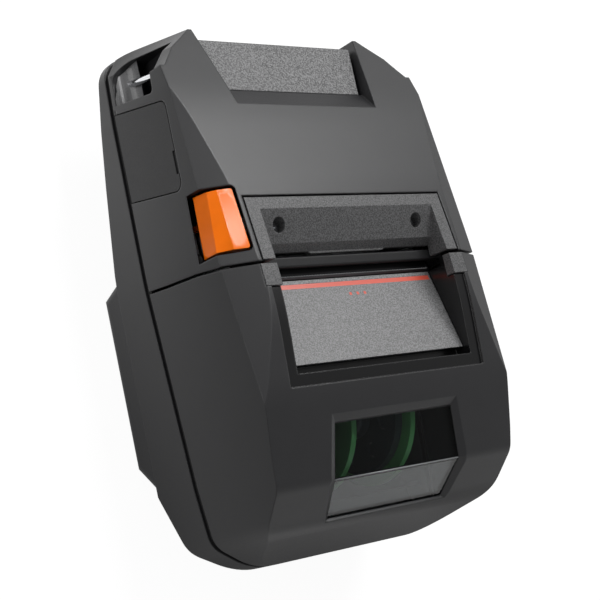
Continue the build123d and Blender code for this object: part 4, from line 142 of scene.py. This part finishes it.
def photo_camera():
    """Camera at the photograph's place, with its focal length and its tilt."""
    lens = bpy.data.cameras.new("photo_camera")
    lens.sensor_width = SENSOR_MM
    lens.lens = FOCAL_PIXELS / PHOTO_PIXELS * SENSOR_MM
    lens.clip_start = 0.01
    lens.clip_end = 20.0
    camera = bpy.data.objects.new("photo_camera", lens)
    bpy.context.scene.collection.objects.link(camera)
    right = AHEAD.cross(PHOTO_UP).normalized()
    up = right.cross(AHEAD).normalized()
    turn = Matrix((right, up, -AHEAD.normalized())).transposed()
    camera.matrix_world = Matrix.Translation(EYE) @ turn.to_4x4()
    bpy.context.scene.camera = camera


def feed(tree, value, socket):
    """A socket takes its value from another socket, or is set to a plain number."""
    if isinstance(value, bpy.types.NodeSocket):
        tree.links.new(value, socket)
    else:
        socket.default_value = value


def worked_out(tree, operation, *values):
    """Result of a Math node on sockets and plain numbers."""
    step = tree.nodes.new("ShaderNodeMath")
    step.operation = operation
    for value, socket in zip(values, step.inputs):
        feed(tree, value, socket)
    return step.outputs["Value"]


def spread(tree, value, low, high, from_low=0.3, from_high=0.7):
    """Value mapped from one range onto another and held inside it; the usual range is a noise's."""
    level = tree.nodes.new("ShaderNodeMapRange")
    level.inputs["From Min"].default_value = from_low
    level.inputs["From Max"].default_value = from_high
    feed(tree, low, level.inputs["To Min"])
    feed(tree, high, level.inputs["To Max"])
    tree.links.new(value, level.inputs["Value"])
    return level.outputs["Result"]


def axes_of(tree, place):
    """X, Y and Z of a place or direction."""
    axes = tree.nodes.new("ShaderNodeSeparateXYZ")
    tree.links.new(place, axes.inputs["Vector"])
    return axes.outputs


def seen_white(tree, plain, white):
    """Value that is white for camera, glossy and transmission rays, and plain for the rest."""
    path = tree.nodes.new("ShaderNodeLightPath").outputs
    mirror_or_lens = worked_out(tree, "MAXIMUM", path["Is Glossy Ray"], path["Is Transmission Ray"])
    seen = worked_out(tree, "MAXIMUM", path["Is Camera Ray"], mirror_or_lens)
    return spread(tree, seen, plain, white, 0.0, 1.0)


def studio_world():
    """White sweep as the lens sees it, with a grey ceiling for shiny parts, and a soft fill for the rest."""
    world = bpy.data.worlds.new("studio")
    world.use_nodes = True
    tree = world.node_tree
    background = tree.nodes["Background"]
    background.inputs["Color"].default_value = (1, 1, 1, 1)
    aim = axes_of(tree, tree.nodes.new("ShaderNodeTexCoord").outputs["Generated"])
    ceiling = spread(tree, aim["Z"], 1.0, CEILING, *CEILING_EDGE)
    path = tree.nodes.new("ShaderNodeLightPath").outputs
    sweep = worked_out(tree, "MAXIMUM", path["Is Camera Ray"], ceiling)
    strength = worked_out(tree, "MULTIPLY", sweep, seen_white(tree, AMBIENT, 1.0))
    tree.links.new(strength, background.inputs["Strength"])
    bpy.context.scene.world = world


def floor_paint():
    """Grey that takes the shadow, under a glow that only the lens and shiny parts see; to shiny parts the
    glow shows a painted shadow near the tail and a painted falloff beside the printer.
    """
    paint = bpy.data.materials.new("studio_floor")
    paint.use_nodes = True
    tree = paint.node_tree
    tree.nodes.clear()
    place = tree.nodes.new("ShaderNodeTexCoord").outputs["Object"]
    reach = tree.nodes.new("ShaderNodeVectorMath")
    reach.operation = "DISTANCE"
    reach.inputs[1].default_value = SHADE_CENTRE
    tree.links.new(place, reach.inputs[0])
    # Painted shadow in the glow round a point near the tail, seen only in shiny parts
    shade = spread(tree, reach.outputs["Value"], FLOOR_IN_SHADE, FLOOR_IN_GLOSS, *SHADE_EDGE)
    # Painted falloff of light in the glow beside the printer, seen only in shiny parts
    sideways = worked_out(tree, "ABSOLUTE", axes_of(tree, place)["X"])
    painted_falloff = spread(tree, sideways, 1.0, FLOOR_PAINTED_FALLOFF, *PAINTED_FALLOFF_EDGE)
    in_gloss = worked_out(tree, "MULTIPLY", shade, painted_falloff)
    path = tree.nodes.new("ShaderNodeLightPath").outputs
    level = spread(tree, path["Is Camera Ray"], in_gloss, FLOOR_IN_LENS, 0.0, 1.0)
    shown = worked_out(tree, "MULTIPLY", level, seen_white(tree, 0.0, 1.0))
    glow = tree.nodes.new("ShaderNodeEmission")
    tree.links.new(shown, glow.inputs["Strength"])
    matt = tree.nodes.new("ShaderNodeBsdfDiffuse")
    matt.inputs["Color"].default_value = (FLOOR_GREY, FLOOR_GREY, FLOOR_GREY, 1)
    both = tree.nodes.new("ShaderNodeAddShader")
    tree.links.new(matt.outputs["BSDF"], both.inputs[0])
    tree.links.new(glow.outputs["Emission"], both.inputs[1])
    out = tree.nodes.new("ShaderNodeOutputMaterial")
    tree.links.new(both.outputs["Shader"], out.inputs["Surface"])
    return paint


def studio_floor():
    """Pale floor under the printer that keeps its soft shadow."""
    mesh = bpy.data.meshes.new("studio_floor")
    sheet = bmesh.new()
    bmesh.ops.create_grid(sheet, x_segments=1, y_segments=1, size=FLOOR_HALF_SIZE)
    sheet.to_mesh(mesh)
    sheet.free()
    mesh.materials.append(floor_paint())
    floor = bpy.data.objects.new("studio_floor", mesh)
    bpy.context.scene.collection.objects.link(floor)


def softbox(name, direction, distance, width, height, radiance):
    """Rectangular soft light that faces the printer from a direction."""
    lamp = bpy.data.lights.new(name, "AREA")
    lamp.shape = "RECTANGLE"
    lamp.size = width
    lamp.size_y = height
    lamp.energy = radiance * math.pi * width * height
    box = bpy.data.objects.new(name, lamp)
    bpy.context.scene.collection.objects.link(box)
    towards = Vector(direction).normalized()
    turn = towards.to_track_quat("Z", "Y").to_matrix().to_4x4()
    box.matrix_world = Matrix.Translation(towards * distance) @ turn


def new_finish(name, colour, roughness, metallic=0.0, specular=0.5):
    """Material with one Principled shader; gives the material, its node tree and the shader."""
    material = bpy.data.materials.new(name)
    material.use_nodes = True
    shader = material.node_tree.nodes["Principled BSDF"]
    shader.inputs["Base Color"].default_value = (*colour, 1)
    shader.inputs["Roughness"].default_value = roughness
    shader.inputs["Metallic"].default_value = metallic
    shader.inputs["Specular IOR Level"].default_value = specular
    return material, material.node_tree, shader


def pattern_place(tree, stretch=(1, 1, 1)):
    """Object coordinates, stretched along the axes for drawn or brushed patterns."""
    place = tree.nodes.new("ShaderNodeTexCoord")
    mapping = tree.nodes.new("ShaderNodeMapping")
    mapping.inputs["Scale"].default_value = stretch
    tree.links.new(place.outputs["Object"], mapping.inputs["Vector"])
    return mapping.outputs["Vector"]


def noise(tree, place, size, detail=2.0, rough=0.5):
    """Noise with lumps of about size metres."""
    texture = tree.nodes.new("ShaderNodeTexNoise")
    texture.inputs["Scale"].default_value = 1 / size
    texture.inputs["Detail"].default_value = detail
    texture.inputs["Roughness"].default_value = rough
    tree.links.new(place, texture.inputs["Vector"])
    return texture.outputs["Fac"]


def tint(tree, value, colour, change):
    """Colour that is darker or lighter by change, from a noise value."""
    mix = tree.nodes.new("ShaderNodeMix")
    mix.data_type = "RGBA"
    mix.inputs["A"].default_value = (*[c * (1 - change) for c in colour], 1)
    mix.inputs["B"].default_value = (*[c * (1 + change) for c in colour], 1)
    tree.links.new(value, mix.inputs["Factor"])
    return mix.outputs["Result"]


def relief(tree, value, depth, shader, edge=0.0):
    """Bump of a depth in metres from a height value, over edges broken to a radius."""
    bump = tree.nodes.new("ShaderNodeBump")
    bump.inputs["Strength"].default_value = 1.0
    bump.inputs["Distance"].default_value = depth
    tree.links.new(value, bump.inputs["Height"])
    tree.links.new(bump.outputs["Normal"], shader.inputs["Normal"])
    if edge:
        broken = tree.nodes.new("ShaderNodeBevel")
        broken.samples = EDGE_SAMPLES
        broken.inputs["Radius"].default_value = edge
        tree.links.new(broken.outputs["Normal"], bump.inputs["Normal"])


def moulded(name, colour, roughness, grain, depth, fleck=0.12, specular=0.5, edge=0.0):
    """Moulded plastic with a spark-eroded grain of lumps about grain metres wide."""
    material, tree, shader = new_finish(name, colour, roughness, specular=specular)
    place = pattern_place(tree)
    lumps = noise(tree, place, grain, detail=3.0, rough=0.6)
    cloud = noise(tree, place, grain * CLOUD_IN_GRAINS)
    sheen = spread(tree, lumps, roughness - GRAIN_SHEEN, roughness + GRAIN_SHEEN)
    tree.links.new(tint(tree, cloud, colour, fleck), shader.inputs["Base Color"])
    tree.links.new(sheen, shader.inputs["Roughness"])
    relief(tree, lumps, depth, shader, edge)
    return material


def pebbled(name, colour, roughness, cell, depth, specular=0.5, edge=0.0, fleck=0.5):
    """Moulded plastic with a coarse leather-like pebble, lighter on its crowns."""
    material, tree, shader = new_finish(name, colour, roughness, specular=specular)
    place = pattern_place(tree)
    cells = tree.nodes.new("ShaderNodeTexVoronoi")
    cells.feature = "SMOOTH_F1"
    cells.inputs["Scale"].default_value = 1 / cell
    tree.links.new(place, cells.inputs["Vector"])
    grit = noise(tree, place, cell * GRIT_IN_CELLS)
    height = worked_out(tree, "MULTIPLY_ADD", grit, GRIT_HEIGHT, cells.outputs["Distance"])
    crowns = spread(tree, noise(tree, place, cell * CROWN_IN_CELLS, detail=1.0), 0.0, 1.0, *CROWN_BAND)
    sheen = spread(tree, grit, roughness - PEBBLE_SHEEN, roughness + PEBBLE_SHEEN)
    tree.links.new(tint(tree, crowns, colour, fleck), shader.inputs["Base Color"])
    tree.links.new(sheen, shader.inputs["Roughness"])
    relief(tree, height, depth, shader, edge)
    return material


def polished_inside(material, half_x, across_y, colour, roughness):
    """A finish that turns dark and polished inside an upright box, for the sunk floor round the ramp."""
    tree = material.node_tree
    shader = tree.nodes["Principled BSDF"]
    place = axes_of(tree, pattern_place(tree))
    inside_x = worked_out(tree, "LESS_THAN", worked_out(tree, "ABSOLUTE", place["X"]), half_x)
    above_low = worked_out(tree, "GREATER_THAN", place["Y"], across_y[0])
    below_high = worked_out(tree, "LESS_THAN", place["Y"], across_y[1])
    inside = worked_out(tree, "MULTIPLY", inside_x, worked_out(tree, "MULTIPLY", above_low, below_high))
    for socket, kind, polished in ((shader.inputs["Base Color"], "RGBA", (*colour, 1)),
                                   (shader.inputs["Roughness"], "FLOAT", roughness)):
        mix = tree.nodes.new("ShaderNodeMix")
        mix.data_type = kind
        tree.links.new(inside, mix.inputs["Factor"])
        tree.links.new(socket.links[0].from_socket, mix.inputs["A"])
        mix.inputs["B"].default_value = polished
        tree.links.new(mix.outputs["Result"], socket)


def glossy(name, colour, roughness, coat=0.3, specular=0.5):
    """Smooth gloss plastic with a slight moulding ripple."""
    material, tree, shader = new_finish(name, colour, roughness, specular=specular)
    shader.inputs["Coat Weight"].default_value = coat
    shader.inputs["Coat Roughness"].default_value = COAT_ROUGHNESS
    ripple = noise(tree, pattern_place(tree), RIPPLE_WIDTH, detail=1.0)
    tree.links.new(tint(tree, ripple, colour, RIPPLE_FLECK), shader.inputs["Base Color"])
    relief(tree, ripple, RIPPLE_DEPTH, shader)
    return material


def brushed(name, colour, roughness, along=(1, 1, 1)):
    """Metal with a fine drawn or brushed line."""
    material, tree, shader = new_finish(name, colour, roughness, metallic=1.0)
    lines = noise(tree, pattern_place(tree, along), BRUSH_WIDTH, detail=3.0, rough=0.6)
    sheen = spread(tree, lines, roughness + BRUSH_SHEEN[0], roughness + BRUSH_SHEEN[1])
    tree.links.new(tint(tree, lines, colour, BRUSH_FLECK), shader.inputs["Base Color"])
    tree.links.new(sheen, shader.inputs["Roughness"])
    relief(tree, lines, BRUSH_DEPTH, shader)
    return material


def clear_pane(name, colour, roughness, bend=1.46):
    """Clear plastic that lets light through to what lies behind it."""
    material, tree, shader = new_finish(name, colour, roughness)
    shader.inputs["Transmission Weight"].default_value = 1.0
    shader.inputs["IOR"].default_value = bend
    path = tree.nodes.new("ShaderNodeLightPath")
    through = tree.nodes.new("ShaderNodeBsdfTransparent")
    through.inputs["Color"].default_value = (*colour, 1)
    mix = tree.nodes.new("ShaderNodeMixShader")
    tree.links.new(path.outputs["Is Shadow Ray"], mix.inputs["Fac"])
    tree.links.new(shader.outputs["BSDF"], mix.inputs[1])
    tree.links.new(through.outputs["BSDF"], mix.inputs[2])
    tree.links.new(mix.outputs["Shader"], tree.nodes["Material Output"].inputs["Surface"])
    cloud = noise(tree, pattern_place(tree), PANE_CLOUD)
    tree.links.new(spread(tree, cloud, roughness, roughness + PANE_SHEEN), shader.inputs["Roughness"])
    return material


# Plastics
shell_plastic = moulded("shell_plastic", CHARCOAL, roughness=0.38, grain=0.35 * MM, depth=0.02 * MM,
                        edge=0.7 * MM)
cover_plastic = moulded("cover_plastic", CHARCOAL, roughness=0.38, grain=0.35 * MM, depth=0.02 * MM,
                        edge=0.7 * MM)
polished_inside(cover_plastic, RECESS_HALF_X, RECESS_Y, colour=(0.005, 0.005, 0.0055), roughness=0.22)
plate_plastic = pebbled("plate_plastic", (0.15, 0.15, 0.152), roughness=0.40, cell=0.75 * MM,
                        depth=0.12 * MM, specular=0.3, edge=0.5 * MM, fleck=0.5)
ramp_plastic = pebbled("ramp_plastic", (0.20, 0.20, 0.203), roughness=0.38, cell=0.6 * MM,
                       depth=0.06 * MM, specular=0.4, edge=0.3 * MM, fleck=0.35)
bezel_plastic = pebbled("bezel_plastic", (0.09, 0.09, 0.092), roughness=0.45, cell=0.6 * MM,
                        depth=0.06 * MM, specular=0.4, edge=0.4 * MM, fleck=0.4)
# Strap pocket cheeks: the shell's charcoal painted pale, a painted highlight where the cheek catches the
# light
scoop_painted_highlight = moulded("scoop_painted_highlight", (0.16, 0.16, 0.163), roughness=0.30, grain=0.5 * MM,
                        depth=0.01 * MM, edge=0.1 * MM)
trim_plastic = moulded("trim_plastic", (0.014, 0.014, 0.015), roughness=0.42, grain=0.4 * MM,
                       depth=0.03 * MM, specular=0.3, edge=0.4 * MM)
inner_plastic = moulded("inner_plastic", (0.006, 0.006, 0.0065), roughness=0.6, grain=0.6 * MM,
                        depth=0.03 * MM, specular=0.2)
hub_plastic = moulded("hub_plastic", (0.035, 0.045, 0.045), roughness=0.35, grain=0.6 * MM,
                      depth=0.02 * MM)
gear_resin = moulded("gear_resin", (0.7, 0.68, 0.6), roughness=0.45, grain=0.5 * MM, depth=0.01 * MM,
                     fleck=0.04)
lever_orange = glossy("lever_orange", (1.0, 0.19, 0.004), roughness=0.22, coat=0.0, specular=0.22)
line_red = glossy("line_red", (0.72, 0.10, 0.06), roughness=0.35, coat=0.1)
guide_green = glossy("guide_green", (0.10, 0.36, 0.10), roughness=0.35, coat=0.1)

# Rubbers
seal_rubber = moulded("seal_rubber", (0.008, 0.008, 0.008), roughness=0.8, grain=0.8 * MM,
                      depth=0.03 * MM)
platen_rubber = moulded("platen_rubber", (0.02, 0.02, 0.021), roughness=0.7, grain=0.5 * MM,
                        depth=0.02 * MM)
button_rubber = moulded("button_rubber", (0.03, 0.03, 0.031), roughness=0.6, grain=0.5 * MM,
                        depth=0.03 * MM)

# Metals
steel = brushed("steel", (0.52, 0.53, 0.54), roughness=0.34, along=(0.15, 1, 1))
dark_steel = brushed("dark_steel", (0.09, 0.09, 0.095), roughness=0.36)
motor_steel = brushed("motor_steel", (0.35, 0.35, 0.37), roughness=0.35)
chrome = brushed("chrome", (0.75, 0.76, 0.78), roughness=0.12, along=(1, 1, 0.1))
black_alloy = brushed("black_alloy", (0.02, 0.02, 0.021), roughness=0.45, along=(0.1, 1, 1))
gilt = brushed("gilt", (0.78, 0.55, 0.2), roughness=0.3)

# Electronics
board_green = glossy("board_green", (0.02, 0.13, 0.05), roughness=0.35)
head_ceramic = glossy("head_ceramic", (0.012, 0.012, 0.014), roughness=0.3, coat=0.0, specular=0.3)
cell_wrap = glossy("cell_wrap", (0.05, 0.12, 0.3), roughness=0.3)
lamp_lens = glossy("lamp_lens", (0.1, 0.45, 0.16), roughness=0.2)

# Window: one clear plastic, with the upper pane tinted darker than the lower as painted shade
pane = clear_pane("pane", (0.65, 0.69, 0.71), roughness=0.02)
shaded_pane = clear_pane("shaded_pane", (0.5, 0.54, 0.56), roughness=0.02, bend=1.22)
# Light grey bead on the window's fold, a painted highlight
fold_highlight_bead = glossy("fold_highlight_bead", (0.22, 0.23, 0.235), roughness=0.2, coat=0.0)

FINISH_OF_NODE = {
    shell_plastic: ["front_shell", "back_shell", "battery_case"],
    cover_plastic: ["roll_cover"],
    plate_plastic: ["rear_plate"],
    ramp_plastic: ["exit_ramp"],
    bezel_plastic: ["bezel_frame", "cover_tabs"],
    trim_plastic: ["exit_lip", "battery_latch"],
    inner_plastic: ["roll_cradle", "dc_socket", "media_sensor"],
    seal_rubber: ["seam_gasket"],
    lever_orange: ["release_lever"],
    line_red: ["ramp_stripe", "ramp_dots"],
    guide_green: ["roll_guide_left", "roll_guide_right"],
    hub_plastic: ["roll_hub_left", "roll_hub_right"],
    steel: ["platen_frame", "platen_shaft", "hinge_pin", "idler_axle", "head_pivot_pin",
            "latch_spring", "latch_shaft", "frame_screws", "head_springs", "inner_frame", "usb_socket"],
    dark_steel: ["case_screws", "tear_bar"],
    chrome: ["strap_bars", "bezel_screws"],
    black_alloy: ["head_heatsink"],
    gilt: ["battery_contacts", "motor_pinion"],
    platen_rubber: ["platen_roller"],
    gear_resin: ["platen_gear", "idler_gear", "guide_pinion", "platen_bushes"],
    board_green: ["main_board", "button_board", "antenna_board"],
    head_ceramic: ["print_head"],
    cell_wrap: ["battery_cells"],
    motor_steel: ["motor"],
    lamp_lens: ["status_lights"],
    button_rubber: ["feed_button", "wireless_button", "power_button", "usb_flap"],
}


def finish_cad_nodes():
    """CAD nodes get the finish of their real material."""
    for material, names in FINISH_OF_NODE.items():
        for name in names:
            mesh = frame["nodes"][name].data
            mesh.materials.clear()
            mesh.materials.append(material)


def everything(shape):
    """All corners, edges and faces of a shape."""
    return shape.verts[:] + shape.edges[:] + shape.faces[:]


def corners_of(geometry):
    """The corners in what an operator gives back."""
    return [corner for corner in geometry if isinstance(corner, bmesh.types.BMVert)]


def merged_copy(node):
    """A CAD node's shape with its loose triangles joined up."""
    shape = bmesh.new()
    shape.from_mesh(frame["nodes"][node].data)
    bmesh.ops.remove_doubles(shape, verts=shape.verts, dist=MERGE_WITHIN)
    bmesh.ops.dissolve_limit(shape, angle_limit=FLAT_TURN, verts=shape.verts, edges=shape.edges)
    return shape


def piece_of(shape, name, node, material):
    """New piece from a finished shape, on the body of the CAD node that it belongs to."""
    mesh = bpy.data.meshes.new(name)
    shape.to_mesh(mesh)
    shape.free()
    mesh.materials.append(material)
    piece = bpy.data.objects.new(name, mesh)
    bpy.context.scene.collection.objects.link(piece)
    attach(piece, BODY_OF_NODE[node])
    return piece


def lever_cap():
    """Release lever with its hard edges rounded."""
    shape = merged_copy("release_lever")
    for face in shape.faces:
        face.smooth = True
    cap = piece_of(shape, "lever_cap", "release_lever", lever_orange)
    rounding = cap.modifiers.new("rounding", "BEVEL")
    rounding.width = LEVER_ROUNDING
    rounding.segments = LEVER_STEPS
    rounding.limit_method = "ANGLE"
    rounding.angle_limit = LEVER_LEAST_TURN
    rounding.use_clamp_overlap = True
    rounding.harden_normals = True
    rounding.miter_outer = "MITER_ARC"
    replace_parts(cap, "release_lever")


def window_panes():
    """Clear window as its two flat panes, each with its own sheen, cut at the fold; the upper pane's darker
    tint is painted shade.
    """
    for name, material, keep_tail in (("upper_pane", shaded_pane, False), ("lower_pane", pane, True)):
        shape = merged_copy("cover_window")
        cut = bmesh.ops.bisect_plane(shape, geom=everything(shape), dist=CUT_WITHIN,
                                     plane_co=(0, WINDOW_FOLD_Y, 0), plane_no=(0, 1, 0),
                                     clear_outer=keep_tail, clear_inner=not keep_tail)
        rim = [edge for edge in cut["geom_cut"] if isinstance(edge, bmesh.types.BMEdge)]
        bmesh.ops.edgeloop_fill(shape, edges=rim)
        bmesh.ops.recalc_face_normals(shape, faces=shape.faces)
        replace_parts(piece_of(shape, name, "cover_window", material), "cover_window")


def fold_bead():
    """Polished light grey bead where the window's two panes meet, a painted highlight along the fold."""
    low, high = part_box("cover_window")
    shape = bmesh.new()
    bmesh.ops.create_circle(shape, cap_ends=True, segments=BEAD_SIDES, radius=BEAD_RADIUS)
    bmesh.ops.rotate(shape, matrix=Matrix.Rotation(math.radians(90), 3, "Y"), verts=shape.verts)
    bmesh.ops.translate(shape, vec=(low[0], WINDOW_FOLD_Y, WINDOW_FOLD_Z), verts=shape.verts)
    drawn = bmesh.ops.extrude_face_region(shape, geom=shape.faces[:])["geom"]
    bmesh.ops.translate(shape, vec=(high[0] - low[0], 0, 0), verts=corners_of(drawn))
    bmesh.ops.recalc_face_normals(shape, faces=shape.faces)
    for face in shape.faces:
        face.smooth = len(face.verts) == 4
    piece_of(shape, "fold_bead", "cover_window", fold_highlight_bead)


def strap_scoop(sign, name):
    """Dished cheek of a strap pocket, with a raised line along its rim, in the shell's plastic painted pale
    as a painted highlight.
    """
    shape = bmesh.new()
    rim = [shape.verts.new((x, SCOOP_Y[0], z)) for x, z in SCOOP_RIM]
    for one, two in zip(rim, rim[1:]):
        shape.edges.new((one, two))
    centre = rim[-1].co + Vector((0, 0, SCOOP_RADIUS))
    bmesh.ops.spin(shape, geom=[rim[-1]], cent=centre, axis=(0, 1, 0), angle=math.radians(90),
                   steps=SCOOP_STEPS)
    drawn = bmesh.ops.extrude_edge_only(shape, edges=shape.edges[:])["geom"]
    bmesh.ops.translate(shape, vec=(0, SCOOP_Y[1] - SCOOP_Y[0], 0), verts=corners_of(drawn))
    bmesh.ops.bisect_plane(shape, geom=everything(shape), dist=CUT_WITHIN,
                           plane_co=SCOOP_TRIM_POINT, plane_no=SCOOP_TRIM_FACING, clear_outer=True)
    bmesh.ops.scale(shape, vec=(sign, 1, 1), verts=shape.verts)
    bmesh.ops.recalc_face_normals(shape, faces=shape.faces)
    if sum(face.normal.z for face in shape.faces) < 0:
        bmesh.ops.reverse_faces(shape, faces=shape.faces)
    bmesh.ops.solidify(shape, geom=shape.faces[:], thickness=SCOOP_WALL)
    bmesh.ops.recalc_face_normals(shape, faces=shape.faces)
    piece_of(shape, name, "front_shell", scoop_painted_highlight)


def tear_teeth():
    """Saw-toothed strip along the far face of the tear bar, in lighter steel than the bar, a painted
    highlight on the tooth tips.
    """
    low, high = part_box("tear_bar")
    count = int((high[0] - low[0]) / TOOTH_PITCH)
    shape = bmesh.new()
    bmesh.ops.create_grid(shape, x_segments=2 * count, y_segments=1, size=0.5)
    bmesh.ops.scale(shape, vec=(count * TOOTH_PITCH, 2 * TOOTH_HEIGHT, 1), verts=shape.verts)
    bmesh.ops.rotate(shape, matrix=Matrix.Rotation(math.radians(90), 3, "X"), verts=shape.verts)
    valleys = [vert for vert in shape.verts if vert.co.z > 0 and round(vert.co.x / TOOTH_PITCH * 2) % 2]
    bmesh.ops.translate(shape, vec=(0, 0, -TOOTH_HEIGHT), verts=valleys)
    place = ((low[0] + high[0]) / 2, high[1] + TOOTH_STAND_OFF, high[2] - TOOTH_DROP)
    bmesh.ops.translate(shape, vec=place, verts=shape.verts)
    bmesh.ops.solidify(shape, geom=shape.faces[:], thickness=TOOTH_WALL)
    bmesh.ops.recalc_face_normals(shape, faces=shape.faces)
    # Teeth in lighter steel than the dark bar, a painted highlight along their tips
    piece_of(shape, "tear_teeth", "tear_bar", steel)


photo_camera()
studio_world()
studio_floor()
softbox("key_softbox", (0.37, 0.53, 0.76), distance=1.1, width=0.45, height=0.50, radiance=8.6)
softbox("lever_softbox", (0.06, 0.48, 0.87), distance=1.0, width=0.13, height=0.13, radiance=40.0)
softbox("left_softbox", (-0.92, 0.30, 0.25), distance=0.7, width=0.5, height=0.5, radiance=2.0)
finish_cad_nodes()
lever_cap()
window_panes()
fold_bead()
strap_scoop(-1, "strap_scoop_left")
strap_scoop(1, "strap_scoop_right")
tear_teeth()

bpy.context.scene.view_settings.view_transform = "Standard"
